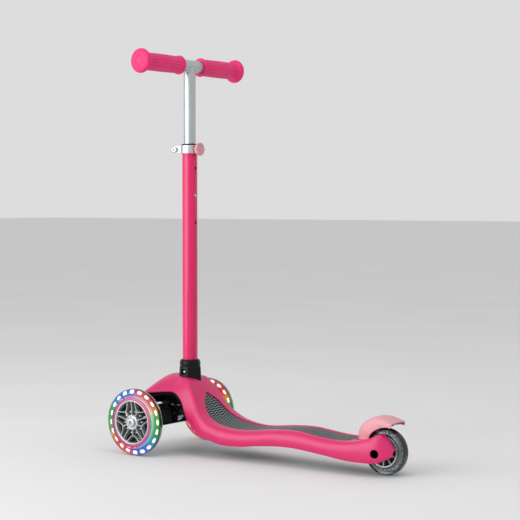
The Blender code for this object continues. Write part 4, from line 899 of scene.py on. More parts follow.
def make_deck_shell():
    skin = sheet_of("deck_skin", DECK_ROWS)
    if skin.polygons[len(skin.polygons) // 2].normal.z < 0:
        skin.flip_normals()
    shell = worked(skin, ("SOLIDIFY", {
        "thickness": DECK_WALL * MM, "offset": -1, "use_even_offset": True}), eased(0.9, 2, 60))
    socket_hole = solid("socket_hole", socket_plan(0.3), 98, 160, STEM)
    axle_hole = rod("axle_hole", AXLE_RECESS, -60, 60, frame_of(REAR_AXLE, LEFT))
    lock = middle("steering_lock_button")
    lock_hole = rod("lock_hole", LOCK_BORE, -20, 30, frame_of(lock, FORWARD))
    shell = carved(
        shell, "DIFFERENCE", mat_recess(), socket_hole, wheel_slot(), axle_hole, lock_hole)
    piece("deck_moulding", shell, MOULDED_ABS, "deck", "pink_plastic", "deck_shell", angle=38)


def frame_rows():
    """Rings of the black frame inside the shell, with the rim that shows in the wheel arch."""
    rows = []
    last_arch = 9
    for number, (row, facing) in enumerate(zip(DECK_ROWS, DECK_FACING)):
        place = number / STEPS
        if place > DECK_END - 1:
            break
        centre = len(row) // 2
        half = [
            point - normal * 3.3 * MM for point, normal in zip(row[centre:], facing[centre:])]
        half[0].y = 0
        edge = half[-1]
        run = (half[-1] - half[-3]).normalized()
        fade = min(1.0, max(0.0, (last_arch + 4 - place) / 4))
        rim = edge + run * (6.5 * fade + 0.8 * (1 - fade)) * MM
        rim.y = min(rim.y, edge.y)
        rows.append(mirrored(half[:-1] + [rim]))
    return rows


def make_deck_frame():
    body = loft_of("deck_frame_blank", frame_rows())
    boss = block(
        "boss", (STEM_X - 0.02, -0.028, HOUSING_TOP + CLEAR), (FRONT_AXLE.x + 0.006, 0.028, 0.116))
    seat = solid("seat", socket_plan(0.3), (SOCKET_LOW - CLEAR) / MM, 170, STEM)
    bore = rod("bore", TUBE_BORE, 110, 170, STEM)
    across = frame_of(REAR_AXLE, LEFT)
    axle = rod("axle", AXLE_BORE, -60, 60, across)
    ends = joined(
        "ends", rod("end", AXLE_RECESS, 26, 60, across), rod("end", AXLE_RECESS, -60, -26, across))
    lock = middle("steering_lock_button")
    tools = [rod("lock", LOCK_BORE, -14, 30, frame_of(lock, FORWARD)), wheel_slot()]
    start, end = REAR_AXLE.x + 0.067, FRONT_AXLE.x - 0.14
    bays = 7
    pitch = (end - start) / bays
    half_rib = 0.0015
    for index in range(bays):
        near = start + pitch * index
        for low, high in ((half_rib, 0.03), (-0.03, -half_rib)):
            tools.append(block(
                "bay", (near + half_rib, low, 0),
                (near + pitch - half_rib, high, REAR_AXLE.z + 0.003)))
    tools.append(block(
        "ear", (STEER_PIVOT.x, -0.0103, 0.06),
        (STEER_PIVOT.x + 0.02, 0.0103, HOUSING_TOP + CLEAR)))
    pin = rod("pin", 2.05, -24, 24, frame_of(BRAKE_PIVOT, LEFT))
    body = carved(body, "UNION", boss)
    body = carved(body, "DIFFERENCE", joined("tools", seat, *tools), bore, axle, ends, pin)
    piece("deck_underframe", body, TEXTURED_NYLON, "deck", "black_plastic", "deck_frame", angle=38)


def make_foot_mat():
    columns, steps, under = 72, 680, 12
    top = mat_rows(0.4 * MM, columns, steps)
    low = mat_rows(-1.0 * MM, under, steps)
    rows = [over + beneath[::-1] for over, beneath in zip(top, low)]
    mesh = loft_of("mat", rows)
    run = [0.0]
    for near, far in zip(top, top[1:]):
        run.append(run[-1] + (far[columns // 2] - near[columns // 2]).length)
    along, across, face = [], [], []
    for number, row in enumerate(rows):
        for column, point in enumerate(row):
            on_top = column <= columns
            rim = min(column, columns - column) if on_top else 0
            ends = min(number, steps - number)
            along.append(run[number])
            across.append(point.y)
            face.append(min(1.0, rim / 2) * min(1.0, ends / 6) if on_top else 0.0)
    for name, values in (("along", along), ("across", across), ("face", face)):
        mesh.attributes.new(name, "FLOAT", "POINT").data.foreach_set("value", values)
    # Real ridges stand 2.6 mm apart; these are wider, so that they show.
    mesh = grown(
        RIDGES, mesh, Pitch=5.2 * MM, Height=0.5 * MM, Wave=14 * MM, Sway=1.2 * MM,
        Finish=MAT_RUBBER)
    for name in ("along", "across", "face"):
        mesh.attributes.remove(mesh.attributes[name])
    piece("foot_mat_ribbed", mesh, MAT_RUBBER, "deck", "mat_rubber", "foot_mat", angle=70)


# Stem socket and T-bar ----------------------------------------------------------------------------


def make_stem_socket():
    low, high = SOCKET_LOW / MM, SOCKET_HIGH / MM
    shoulder = high - 12
    levels = [
        (low, 0.3), (low + 0.8, 0.9), (low + 9, 0.7), (low + 19, 0.1), (shoulder - 3.0, -0.3),
        (shoulder - 1.6, -0.6), (shoulder - 0.4, -1.6)]
    rings = [
        [STEM @ Vector((x * MM, y * MM, height * MM)) for x, y in socket_plan(grow)]
        for height, grow in levels]
    body = stacked("socket_body", rings)
    crown = turned("crown", softened([
        (0, shoulder - 7, 0), (19.0, shoulder - 7, 0), (19.0, shoulder + 0.2, 0.3),
        (19.3, shoulder + 1.2, 0.6), (19.2, high - 4.4, 0.9), (17.2, high - 0.8, 0.8),
        (16.4, high, 0.4), (0, high, 0)]), STEM)
    body = carved(body, "UNION", crown)
    pin = frame_of((STEM_X, 0, BASE_PIN_Z), LEFT)
    body = carved(
        body, "DIFFERENCE", rod("bore", TUBE_BORE, low - 1, high + 1, STEM, 96),
        rod("recess", 5.5, 16.8, 40, pin), rod("hole", PIN_HOLE, 0, 40, pin, 32))
    body = worked(body, eased(0.35, 2, 50))
    piece("stem_socket_moulding", body, SATIN_NYLON, "deck", "black_plastic", "stem_socket")


def make_lower_tube():
    low, top = TUBE_LOW / MM, TUBE_TOP / MM
    tube = turned("tube", softened([
        (12.2, low, 0.3), (TUBE_RADIUS, low, 0.5), (TUBE_RADIUS, top, 0.5), (12.2, top, 0.3)], 2),
        STEM, 96)
    height_step = 0.05
    holes = [
        rod("hole", PIN_HOLE, 0, 30,
            frame_of((STEM_X, 0, HEIGHT_PIN_Z + step * height_step), -FORWARD), 32)
        for step in (-1, 0, 1)]
    holes.append(rod("hole", PIN_HOLE, 0, 30, frame_of((STEM_X, 0, BASE_PIN_Z), LEFT), 32))
    holes.append(block(
        "slit", (STEM_X + 0.005, -SLIT_HALF, COLLAR_LOW - 0.008),
        (STEM_X + 0.02, SLIT_HALF, TUBE_TOP + 0.005)))
    tube = carved(tube, "DIFFERENCE", joined("holes", *holes))
    piece("lower_tube_coated", tube, POWDER_COAT, "lower_t_bar", "pink_paint", "lower_tube")


def weld_bead(radius, bar_radius):
    """A rippled bead where the stem meets the crossbar."""
    built = bmesh.new()
    around, section = 120, 10
    rings = []
    for index in range(around):
        angle = math.tau * index / around
        x, y = radius * math.cos(angle), radius * math.sin(angle)
        drop = math.sqrt(max(bar_radius ** 2 - x ** 2, 0))
        centre = Vector((x, y, -drop))
        ripple = 1 + 0.1 * math.cos(angle * 30)
        away = Vector((math.cos(angle), math.sin(angle), 0))
        ring = []
        for step in range(section):
            turn = math.tau * step / section
            offset = (away * math.cos(turn) + UP * math.sin(turn)) * 1.25 * ripple
            ring.append(built.verts.new((centre + offset) * MM + Vector((STEM_X, 0, BAR_Z))))
        rings.append(ring)
    bridged(built, rings + rings[:1])
    return mesh_of("weld", built)


def make_upper_tube():
    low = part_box("upper_tube")[0].z / MM
    bar = BAR_Z / MM
    half = BAR_HALF / MM
    stem = turned("stem", softened([
        (9.5, low, 0.3), (STEM_RADIUS, low, 0.4), (STEM_RADIUS, bar, 0), (9.5, bar, 0)], 2),
        STEM, 96)
    stem = carved(stem, "DIFFERENCE", rod(
        "hole", PIN_HOLE, 0, 30, frame_of((STEM_X, 0, HEIGHT_PIN_Z), -FORWARD), 32))
    across = frame_of((STEM_X, 0, BAR_Z), LEFT)
    crossbar = turned("crossbar", softened([
        (9.7, -half, 0.3), (CROSSBAR_RADIUS, -half, 0.4), (CROSSBAR_RADIUS, half, 0.4),
        (9.7, half, 0.3)], 2), across, 96)
    piece("upper_stem", stem, DRAWN_ALUMINIUM, "upper_t_bar", "anodised_aluminium", "upper_tube")
    piece("crossbar_tube", crossbar, DRAWN_CROSSBAR, "upper_t_bar", "anodised_aluminium")
    piece(
        "crossbar_weld", weld_bead(10.9, CROSSBAR_RADIUS), CAST_ALUMINIUM, "upper_t_bar",
        "anodised_aluminium")


def make_grip(name, side):
    """A grip with a swelling body, fine flutes, a rib and a flange at each end."""
    low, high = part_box(name)
    end = max(abs(low.y), abs(high.y)) / MM
    start = min(abs(low.y), abs(high.y)) / MM
    body = []
    for step in range(33):
        share = step / 32
        radius = 15.0 + 0.5 * math.sin(math.pi * share) + 0.3 * share
        body.append((radius, start + 8.6 + (end - start - 23.6) * share, 0))
    profile = softened([
        (11.5, start, 0), (16.8, start, 1.2), (17.5, start + 2.2, 1.2), (16.8, start + 4.3, 0.8),
        (15.1, start + 4.9, 0.6), (15.1, start + 5.6, 0.5), (16.0, start + 6.2, 0.5),
        (16.0, start + 7.4, 0.5), *body, (17.2, end - 12.0, 2.0), (20.6, end - 9.4, 2.0),
        (22.0, end - 6.4, 2.5), (21.6, end - 3.0, 2.0), (18.4, end - 0.6, 1.2),
        (16.4, end - 0.2, 0.5), (15.9, end - 0.7, 0.3), (15.2, end - 0.7, 0.3),
        (14.6, end - 0.1, 0.5), (9.4, end, 0.5),
        (8.9, end - 0.6, 0.3), (8.2, end - 0.6, 0.3), (7.6, end, 0.4), (0, end, 0),
        (0, end - 4.0, 0), (11.5, end - 4.0, 0)], 3)
    place = frame_of((STEM_X, 0, BAR_Z), LEFT * side)
    flutes = turned(name, profile, Matrix.Identity(4), 144)
    flutes = grown(
        FLUTES, flutes, Flutes=18.0, Depth=0.42 * MM, Low=(start + 9) * MM, High=(end - 15) * MM,
        Fade=4 * MM, Finish=GRIP_RUBBER)
    flutes.transform(place)
    piece(name + "_moulding", flutes, GRIP_RUBBER, "upper_t_bar", "pink_rubber", name, angle=45)


def make_clamp():
    low, high = COLLAR_LOW / MM, COLLAR_HIGH / MM
    mid = (COLLAR_LOW + COLLAR_HIGH) / 2
    collar = turned("collar", softened([
        (13, low, 0), (17, low, 0.8), (17, high, 1.0), (13, high, 0)], 3), STEM, 96)
    ears = solid("ears", softened([
        (10, -7, 0), (28.5, -7, 0), (35.5, -7, 3.4), (35.5, 7, 3.4), (28.5, 7, 0), (10, 7, 0)], 4),
        low + 0.6, high - 0.6, STEM)
    ears = worked(ears, eased(0.7, 2, 50))
    back = frame_of((STEM_X, 0, mid), -FORWARD)
    boss = turned(
        "boss", softened([(0, 10, 0), (6, 10, 0), (6, 20.5, 0.6), (0, 20.5, 0)], 2), back, 48)
    collar = carved(collar, "UNION", ears, boss)
    pinch = frame_of((STEM_X + 0.029, 0, mid), LEFT)
    slit = block(
        "slit", (STEM_X + 0.005, -SLIT_HALF, COLLAR_LOW - 0.001),
        (STEM_X + 0.0365, SLIT_HALF, COLLAR_HIGH + 0.001))
    collar = carved(
        collar, "DIFFERENCE", rod("bore", TUBE_BORE, low - 1, high + 1, STEM, 96), slit,
        rod("bolt_hole", 2.6, -20, 20, pinch, 32), rod("stud_hole", 3.1, 5, 30, back, 32))
    piece(
        "clamp_collar_casting", collar, CAST_ALUMINIUM, "lower_t_bar", "anodised_aluminium",
        "clamp_collar")

    head = turned("head", softened([
        (0, -12.3, 0), (2.5, -12.3, 0.4), (2.5, 7.3, 0), (5.8, 7.3, 0.3), (5.8, 10.6, 1.0),
        (4.6, 11.9, 0.6), (0, 11.9, 0)], 3), pinch, 48)
    head = carved(head, "DIFFERENCE", solid("key", hexagon(4.6), 9.3, 13, pinch))
    piece("clamp_bolt_head", head, ZINC_PLATE, "lower_t_bar", "zinc_steel", "clamp_bolt")
    nut = solid("nut", hexagon(8), -11.3, -7.3, pinch)
    nut = carved(nut, "DIFFERENCE", rod("thread", 2.55, -12, -7, pinch, 32))
    piece(
        "clamp_nut_hex", worked(nut, eased(0.35)), ZINC_PLATE, "lower_t_bar", "zinc_steel",
        "clamp_nut")

    seat = COLLAR_HIGH / MM + 0.3
    bush = turned("bush", softened([
        (11.05, TUBE_TOP / MM - 24, 0), (12.15, TUBE_TOP / MM - 24, 0), (12.15, seat, 0.2),
        (15, seat, 0.5), (15, seat + 2, 0.7), (11.05, seat + 2, 0.3)], 2), STEM, 96)
    piece("tube_bush_sleeve", bush, SATIN_NYLON, "lower_t_bar", "black_plastic", "tube_bush")

    knob_low, knob_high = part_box("clamp_knob")
    start = (STEM_X - knob_high.x) / MM
    end = (STEM_X - knob_low.x) / MM
    thick = end - start
    knob = turned("knob", softened([
        (3.3, start, 0.2), (11.6, start, 0.8), (11.95, start + 1.4, 0.6), (11.95, end - 1.5, 0.6),
        (11.3, end - 0.2, 0.8), (9.8, end, 0.5), (9.0, end - 0.9, 0.5), (5.0, end - 0.9, 0.5),
        (4.2, end - 0.2, 0.4), (0, end, 0), (0, start + 3.3, 0), (3.3, start + 3.3, 0)], 3),
        Matrix.Identity(4), 160)
    knob = grown(
        FLUTES, knob, Flutes=10.0, Depth=0.5 * MM, Low=(start - 1) * MM,
        High=(start + thick + 1) * MM, Fade=0.5 * MM, Finish=PASTEL_ABS)
    knob.transform(back)
    piece(
        "clamp_knob_moulding", knob, PASTEL_ABS, "clamp_knob", "pale_pink_plastic", "clamp_knob",
        angle=45)


# Wheels -------------------------------------------------------------------------------------------


def wheel_place(hub, side):
    """A wheel's own place: Z out of its face, Y up."""
    return frame_of(hub, LEFT * side)


def clock(radius, degrees):
    """A spot on a wheel's face, its angle from the top towards the right."""
    turn = math.radians(degrees)
    return Vector((radius * math.sin(turn), radius * math.cos(turn)))


def strip(points, width):
    """The outline of a bar of even width along a line of points."""
    sides = ([], [])
    for index, point in enumerate(points):
        run = points[min(index + 1, len(points) - 1)] - points[max(index - 1, 0)]
        square = Vector((-run.y, run.x)).normalized() * width / 2
        sides[0].append(point + square)
        sides[1].append(point - square)
    return [tuple(point) for point in sides[0] + sides[1][::-1]]


def ribbon(name, points, width, low, high):
    """An upright rib along a line of points on a wheel's face, with its crest rounded over."""
    rows = []
    for index, point in enumerate(points):
        run = points[min(index + 1, len(points) - 1)] - points[max(index - 1, 0)]
        square = Vector((-run.y, run.x)).normalized()
        row = []
        for reach, height in (
                (-0.62, low), (-0.5, high - 0.35), (-0.28, high), (0.28, high), (0.5, high - 0.35),
                (0.62, low)):
            spot = point + square * width * reach
            row.append((spot.x * MM, spot.y * MM, height * MM))
        rows.append(row)
    return stacked(name, rows)


def spoke_ribs(low, high):
    """One fifth of the core's ribs: a cup open to the rim on a stem, and a straight rib."""
    cup = []
    for step in range(25):
        share = step / 24 * 2 - 1
        cup.append(clock(38.4 - 14.0 * (1 - abs(share) ** 2.6), 32 + 23 * share))
    stem = [clock(12.5 + 12.4 * step / 6, 32) for step in range(7)]
    rib = []
    for step in range(9):
        share = step / 8
        rib.append(clock(12.5 + 25.8 * step / 8, -4 + 1.6 * math.sin(math.pi * share)))
    return joined(
        "ribs", ribbon("cup", cup, 1.25, low, high), ribbon("stem", stem, 1.5, low, high),
        ribbon("rib", rib, 1.4, low, high))


def oval_cell(radius, half_long, half_wide, height):
    """A low oval lens at the top of a wheel's face."""
    sides = 20
    rings = []
    for grow, rise in ((1.0, -0.5), (1.0, 0.55), (0.86, 0.9), (0.5, 1.0)):
        ring = []
        for step in range(sides):
            angle = math.tau * step / sides
            x = math.copysign(abs(math.cos(angle)) ** 0.75, math.cos(angle)) * half_long * grow
            y = math.copysign(abs(math.sin(angle)) ** 0.75, math.sin(angle)) * half_wide * grow
            bend = radius - math.sqrt(radius ** 2 - x ** 2)
            ring.append((x * MM, (radius + y - bend) * MM, height * rise * MM))
        rings.append(ring)
    return stacked("cell", rings)


def tyre_profile(inner, outer, half, flat):
    """A tyre with a flat wall up to a radius and a tread rounded from there to the middle."""
    profile = [
        (inner + 0.4, -half + 0.1), (inner, -half + 0.6), (inner, half - 0.6), (inner + 0.4, half)]
    depth = outer - flat
    for step in range(25):
        angle = math.pi * step / 24
        spread = math.cos(angle)
        profile.append((
            flat + depth * math.sin(angle) ** 0.8,
            half * math.copysign(abs(spread) ** 0.75, spread)))
    return profile


def make_front_wheel(name, hub, side):
    body = "front_wheel_" + name
    place = wheel_place(hub, side)
    tyre = turned("tyre", tyre_profile(45.8, 60.5, 12, 50), place, 160)
    urethane = cast_urethane(
        "clear_cast_urethane_" + name, hub, ("#e4ebf0", "#eef3f6"), "#2a3c44", (60.2, 60.45))
    piece("tyre_cast_" + name, tyre, urethane, body, "clear_urethane", "tyre_" + name)

    flange = turned("flange", softened([
        (46.0, -3.4, 0), (48.0, -1.2, 0.8), (58.4, -0.9, 0.5), (58.8, 0, 0.3), (58.4, 0.9, 0.5),
        (48.0, 1.2, 0.8), (46.0, 3.4, 0)], 2), place, 160)
    piece("lit_flange_" + name, flange, lit_flange("lit_acrylic_flange_" + name, hub),
          body, "clear_urethane")
    lens = cell_light("lit_cell_lens_" + name, hub)
    cell = oval_cell(53.4, 4.8, 2.0, 0.9)
    cell.transform(Matrix.Rotation(math.radians(-14), 4, "Z"))
    cells = grown(REPEAT, cell, Count=20, Step=math.tau / 20, Finish=lens)
    faces = []
    for turn in (0, math.pi):
        face = cells.copy()
        face.transform(place @ Matrix.Rotation(turn, 4, "Y") @ Matrix.Translation((0, 0, 1.1 * MM)))
        faces.append(face)
    piece("light_cells_" + name, joined("cells", *faces), lens, body, "clear_urethane", angle=50)

    ring = turned("ring", softened([
        (40.6, -10, 0.4), (45.5, -10, 0.8), (45.5, 10, 1.6), (40.6, 10.4, 0.5)], 3), place, 160)
    piece(
        "light_ring_" + name + "_lens", ring, LIGHT_RING, body, "light_ring_pink",
        "light_ring_" + name)

    rim = turned("rim", softened([
        (37.6, -10.5, 0.4), (40.3, -10.5, 0.5), (40.3, 10.5, 0.6), (38.2, 10.5, 0.6),
        (37.2, 8.8, 0.4)], 2), place, 160)
    hub_disc = turned("hub", softened([
        (11, -10.5, 0.3), (13.8, -10.5, 0.4), (13.8, 8.8, 0.3), (13.2, 10.3, 0.5),
        (11.6, 10.4, 0.3), (11.3, 9.9, 0.2), (10.7, 9.9, 0.2), (10.4, 10.2, 0.2),
        (9.3, 10.2, 0.3), (9.3, 9.0, 0),
        (11, 9.0, 0)], 2), place, 96)
    ribs = grown(
        REPEAT, spoke_ribs(0.9, 9.4), Count=5, Step=math.tau / 5, Finish=SILVER_NYLON)
    nub = turned("nub", softened([(0, 0.5, 0), (2.1, 0.5, 0), (1.7, 5.4, 0.7), (0, 5.6, 0)], 3),
                 Matrix.Translation(clock(19.8, 14).to_3d() * MM), 20)
    nubs = grown(REPEAT, nub, Count=10, Step=math.tau / 10, Finish=SILVER_NYLON)
    for loose in (ribs, nubs):
        loose.transform(place)
    core = joined("core", rim, hub_disc, ribs, nubs)
    piece(
        "wheel_core_" + name + "_cast", core, SILVER_NYLON, body, "wheel_core_grey",
        "wheel_core_" + name)

    backing = turned("backing", softened([
        (14.1, -2.5, 0), (37.0, -2.5, 0), (37.0, 0.7, 0.4), (34.0, 0.7, 0.3), (33.6, 0.2, 0.2),
        (31.6, 0.2, 0.2), (31.2, 0.7, 0.3), (26.0, 0.7, 0.3), (25.5, 0.1, 0.2), (23.8, 0.1, 0.2),
        (23.4, 0.7, 0.3), (14.1, 0.7, 0.3)], 2), place, 128)
    piece(
        "wheel_backing_" + name + "_disc", backing, BLACK_CORE_AND_POCKET_SHADE, body, "black_plastic",
        "wheel_backing_" + name)

    lamps = []
    for radius, degrees, lamp_size in ((22.5, -49, 2.3), (33.0, 161, 2.9), (27.5, 68, 1.9)):
        spot = clock(radius, degrees).to_3d() * MM
        lamps.append(turned("lamp", [
            (0, 0.5), (lamp_size, 0.5), (lamp_size, 3.4), (lamp_size * 0.9, 4.6),
            (lamp_size * 0.62, 5.6), (lamp_size * 0.28, 6.1), (0, 6.2)],
            place @ Matrix.Translation(spot), 24))
    piece("hub_lamps_" + name, joined("lamps", *lamps), LAMP_LENS, body, "clear_urethane", angle=60)

    bolt = turned("bolt", softened([
        (0, -48, 0), (4, -48, 0.4), (4, 9.8, 0), (8.5, 9.8, 0.2), (8.5, 12.2, 0.9),
        (7.2, 13.7, 0.6), (0, 13.8, 0)], 3), place, 64)
    bolt = carved(bolt, "DIFFERENCE", solid("key", hexagon(6), 10.6, 15, place))
    piece("axle_bolt_" + name, bolt, ZINC_PLATE, "truck", "zinc_steel", "front_axle_" + name)


def make_rear_wheel():
    place = wheel_place(REAR_AXLE, 1)
    tyre = turned("tyre", tyre_profile(27.3, 40, 12, 31), place, 144)
    piece("rear_tyre_cast", tyre, SMOKY_URETHANE, "rear_wheel", "grey_urethane", "rear_tyre")
    core = turned("core", softened([
        (11, -10.5, 0.2), (13.8, -10.5, 0.5), (14.2, -3.4, 0.5), (23.6, -3.0, 0.5),
        (24.2, -10.5, 0.4), (27, -10.5, 0.5), (27, 10.5, 0.5), (24.2, 10.5, 0.4),
        (23.6, 3.0, 0.5), (14.2, 3.4, 0.5),
        (13.8, 10.5, 0.5), (11, 10.5, 0.2)], 2), place, 128)
    rib = ribbon("rib", [clock(13.4 + 10.9 * step / 5, 0) for step in range(6)], 1.7, 2.4, 9.6)
    fan = grown(REPEAT, rib, Count=10, Step=math.tau / 10, Finish=SILVER_NYLON)
    back = fan.copy()
    fan.transform(place)
    back.transform(place @ Matrix.Rotation(math.pi, 4, "Y"))
    piece(
        "rear_core_cast", joined("core", core, fan, back), SILVER_NYLON, "rear_wheel",
        "wheel_core_grey", "rear_wheel_core")
    flange = turned("flange", softened([
        (27.2, -3.2, 0), (29, -1.0, 0.6), (33.6, -0.8, 0.4), (33.6, 0.8, 0.4), (29, 1.0, 0.6),
        (27.2, 3.2, 0)], 2), place, 128)
    slot = solid(
        "hole", strip([clock(31.2, -5), clock(31.2, 5)], 2.6), -5, 5, Matrix.Identity(4))
    holes = grown(REPEAT, slot, Count=24, Step=math.tau / 24, Finish=SILVER_NYLON)
    holes.transform(place)
    flange = carved(flange, "DIFFERENCE", holes)
    piece("rear_core_flange", flange, SILVER_NYLON, "rear_wheel", "wheel_core_grey")
    # Painted shade: thin near-black rings laid on the floors of the core's pockets between the
    # ribs.
    windows = []
    for face in (1, -1):
        windows.append(turned("window", softened([
            (14.4, 3.2 * face, 0), (23.4, 3.0 * face, 0), (23.4, 3.7 * face, 0.2),
            (14.4, 3.9 * face, 0.2)], 2), place, 128))
    piece(
        "rear_core_windows", joined("windows", *windows), BLACK_CORE_AND_POCKET_SHADE, "rear_wheel", "black_plastic")
    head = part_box("rear_axle")[1].y / MM
    bolt = turned("bolt", softened([
        (0, -31.3, 0), (4, -31.3, 0.4), (4, head - 4, 0), (6, head - 4, 0.3), (6, head, 0.9),
        (0, head, 0)], 3), place, 48)
    bolt = carved(bolt, "DIFFERENCE", solid("key", hexagon(5), head - 2.2, head + 1, place))
    piece("rear_axle_bolt", bolt, SHADE_DARKENED_STEEL, "deck", "zinc_steel", "rear_axle")
    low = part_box("rear_axle_nut")[0].y / MM
    nut = solid("nut", hexagon(12), low, low + 4.5, place)
    nut = carved(nut, "DIFFERENCE", rod("thread", AXLE_BORE, low - 1, low + 6, place, 32))
    piece(
        "rear_axle_nut_hex", worked(nut, eased(0.5)), SHADE_DARKENED_STEEL, "deck", "zinc_steel",
        "rear_axle_nut")


# Brake --------------------------------------------------------------------------------------------


def make_fender():
    sections = [
        [REAR_AXLE + Vector((top[0], 0, top[1])) * MM, REAR_AXLE + Vector(shoulder) * MM,
         REAR_AXLE + Vector(edge) * MM] for top, shoulder, edge in FENDER_SECTIONS]
    rows = []
    steps = 8
    for number in range((len(sections) - 1) * steps + 1):
        place = number / steps
        top, shoulder, edge = (through([s[index] for s in sections], place) for index in range(3))
        line = []
        for step in range(15):
            share = step / 14
            spot = (top * (1 - share) * (1 - 2 * share) + shoulder * 4 * share * (1 - share)
                    + edge * share * (2 * share - 1))
            if 0.5 < share < 1:
                hold = math.sin(math.pi * (share - 0.5) * 2) * 0.35
                corner = Vector((spot.x, spot.y, max(spot.z, shoulder.z * 0.5 + edge.z * 0.5)))
                spot = spot.lerp(corner, hold)
            line.append(spot)
        line[0].y = 0
        rows.append(mirrored(line))
    skin = sheet_of("fender", rows)
    if skin.polygons[len(skin.polygons) // 2].normal.z < 0:
        skin.flip_normals()
    skin = worked(skin, ("SOLIDIFY", {"thickness": 2.6 * MM, "offset": -1}), eased(0.9, 3, 60))
    pivot = frame_of(BRAKE_PIVOT, LEFT)
    barrel = rod("barrel", 4.5, -9.5, 9.5, pivot)
    web = block(
        "web", BRAKE_PIVOT + Vector((-0.0036, -0.0095, 0)),
        BRAKE_PIVOT + Vector((-0.0004, 0.0095, 0.009)))
    bore = rod("bore", 2.05, -30, 30, pivot, 24)
    fender = carved(skin, "UNION", barrel, web)
    fender = carved(fender, "DIFFERENCE", bore)
    piece(
        "brake_fender_moulding", fender, PASTEL_ABS, "brake", "pale_pink_plastic", "brake_fender",
        angle=40)


# Steering -----------------------------------------------------------------------------------------


def refined(node, width):
    """A copy of a CAD node with its triangles merged and its sharp edges eased."""
    built = bmesh.new()
    built.from_mesh(frame["nodes"][node].data)
    bmesh.ops.remove_doubles(built, verts=built.verts, dist=2e-6)
    bmesh.ops.dissolve_limit(
        built, angle_limit=math.radians(0.5), verts=built.verts, edges=built.edges)
    mesh = bpy.data.meshes.new(node)
    built.to_mesh(mesh)
    built.free()
    return worked(mesh, eased(width, 2, 40)) if width else mesh


def make_truck():
    low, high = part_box("truck_beam")
    beam = refined("truck_beam", 1.0)
    half = high.y
    flange = worked(block(
        "flange", (FRONT_AXLE.x - 0.0112, -half + 0.006, low.z),
        (FRONT_AXLE.x + 0.0098, half - 0.006, low.z + 0.0034)), eased(0.5))
    ribs = []
    for side in (1, -1):
        for step in range(4):
            y = side * (0.036 + 0.011 * step)
            ribs.append(block(
                "rib", (FRONT_AXLE.x - 0.0109, y - 0.0007, low.z),
                (FRONT_AXLE.x + 0.0095, y + 0.0007, FRONT_AXLE.z + 0.0062)))
    # Black skirts behind the wheels are painted shade: dark sheets that keep the wheel arch black
    # and hide the springs from behind.
    for side in (1, -1):
        for near, far, top in ((0.019, 0.034, 0.012), (0.034, 0.080, 0.028)):
            low_y, high_y = sorted((side * near, side * far))
            ribs.append(block(
                "shade_skirt", (FRONT_AXLE.x - 0.0125, low_y, low.z + 0.004),
                (FRONT_AXLE.x - 0.0105, high_y, FRONT_AXLE.z + top)))
    piece(
        "truck_beam_moulding", joined("truck", beam, flange, *ribs), TEXTURED_NYLON, "truck",
        "black_plastic", "truck_beam")
    heads = []
    for side in (1, -1):
        spot = frame_of((FRONT_AXLE.x - 0.0098, side * 0.0215, FRONT_AXLE.z - 0.0025), -FORWARD)
        head = turned("head", softened([
            (0, -2, 0), (3.6, -2, 0), (3.6, 1.2, 0.6), (2.4, 2.4, 0.6), (0, 2.6, 0)], 3), spot, 32)
        heads.append(carved(head, "DIFFERENCE", solid("key", hexagon(3), 1.0, 4, spot)))
    piece("truck_screws", joined("screws", *heads), ZINC_PLATE, "truck", "zinc_steel")
    # The springs take the near-black steel: painted shade of the wheel arch.
    for name in ("left", "right"):
        node = "steering_spring_" + name
        foot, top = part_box(node)
        spring = grown(
            COIL, bpy.data.meshes.new("none"), Turns=3.6, Radius=6.5 * MM,
            Length=top.z - foot.z - 2 * MM, Wire=1 * MM, Finish=SHADE_DARKENED_STEEL)
        centre = (foot + top) / 2
        spring.transform(Matrix.Translation((centre.x, centre.y, foot.z + 1 * MM)))
        piece(node + "_coil", spring, SHADE_DARKENED_STEEL, "truck", "zinc_steel", node, angle=60)


KEPT_SURFACES = {
    "zinc_steel": ZINC_PLATE, "black_plastic": TEXTURED_NYLON, "mat_rubber": BUSHING_RUBBER}


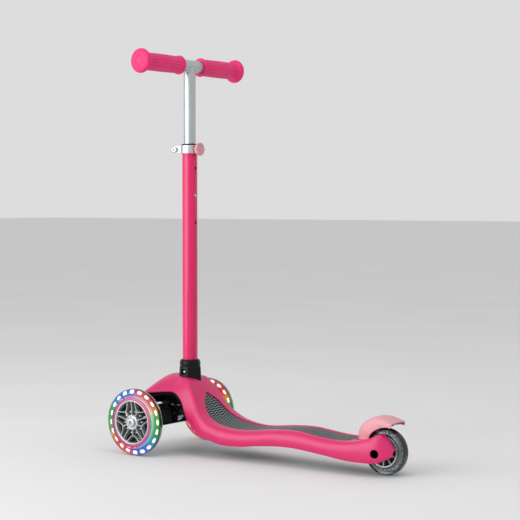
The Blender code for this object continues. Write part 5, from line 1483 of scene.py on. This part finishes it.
def make_small_parts():
    """Everything else: the CAD's own shapes, merged, eased and given real finishes."""
    slots = {part["node"]: part["material_slot"] for part in frame["record"]["subparts"]}
    done = set()
    for made in bpy.context.scene.objects:
        done.update(made.get("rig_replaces", []))
    widths = {
        "steering_housing": 0.8, "steering_lock_button": 0.5, "kingpin": 0.4, "brake_pad": 0.5,
        "kingpin_nut": 0.5}
    bodies = frame["record"]["behaviour"]["bodies"]
    for body, nodes in bodies.items():
        for node in nodes:
            if node in done:
                continue
            surface = KEPT_SURFACES[slots[node]]
            if node == "steering_lock_button":
                surface = SATIN_NYLON
            shape = refined(node, widths.get(node, 0.15))
            piece(node + "_part", shape, surface, body, slots[node], node)


# The stage ----------------------------------------------------------------------------------------


def make_stage():
    """A pale floor, soft studio light and the camera."""
    floor = bpy.data.objects.new(
        "studio_floor", block("floor", (-30, -30, -0.02), (30, 30, -0.0002)))
    bpy.context.scene.collection.objects.link(floor)
    paper = finish("studio_paper", ("#e0e0e0", "#e4e4e4"), 400, (0.85, 0.9), 3, 0.02)
    floor.data.materials.append(paper)

    world = bpy.data.worlds.new("studio")
    world.use_nodes = True
    back = world.node_tree.nodes["Background"]
    back.inputs["Color"].default_value = linear("#ffffff")
    back.inputs["Strength"].default_value = 0.72
    bpy.context.scene.world = world
    bpy.context.scene.view_settings.view_transform = "Standard"

    target = Vector((0, 0, 0.3))
    for name, spot, size, power in (
            ("side_panel", (1.0, 2.5, 0.9), 2.8, 66), ("top_panel", (-0.6, 0.6, 2.6), 1.4, 8)):
        lamp = bpy.data.lights.new(name, "AREA")
        lamp.size = size
        lamp.energy = power
        holder = bpy.data.objects.new(name, lamp)
        holder.location = spot
        holder.rotation_euler = (target - Vector(spot)).to_track_quat("-Z", "Y").to_euler()
        bpy.context.scene.collection.objects.link(holder)

    lens = bpy.data.cameras.new("view")
    lens.lens = 100.98
    lens.sensor_width = 36
    camera = bpy.data.objects.new("view", lens)
    camera.location = (-1.5297, 2.0938, 0.4594)
    camera.rotation_euler = Vector((0.5945, -0.8031, -0.0394)).to_track_quat("-Z", "Y").to_euler()
    bpy.context.scene.collection.objects.link(camera)
    bpy.context.scene.camera = camera


make_stage()
make_deck_shell()
make_deck_frame()
make_foot_mat()
make_stem_socket()
make_lower_tube()
make_upper_tube()
make_grip("grip_left", 1)
make_grip("grip_right", -1)
make_clamp()
make_front_wheel("left", LEFT_HUB, 1)
make_front_wheel("right", RIGHT_HUB, -1)
make_rear_wheel()
make_fender()
make_truck()
make_small_parts()
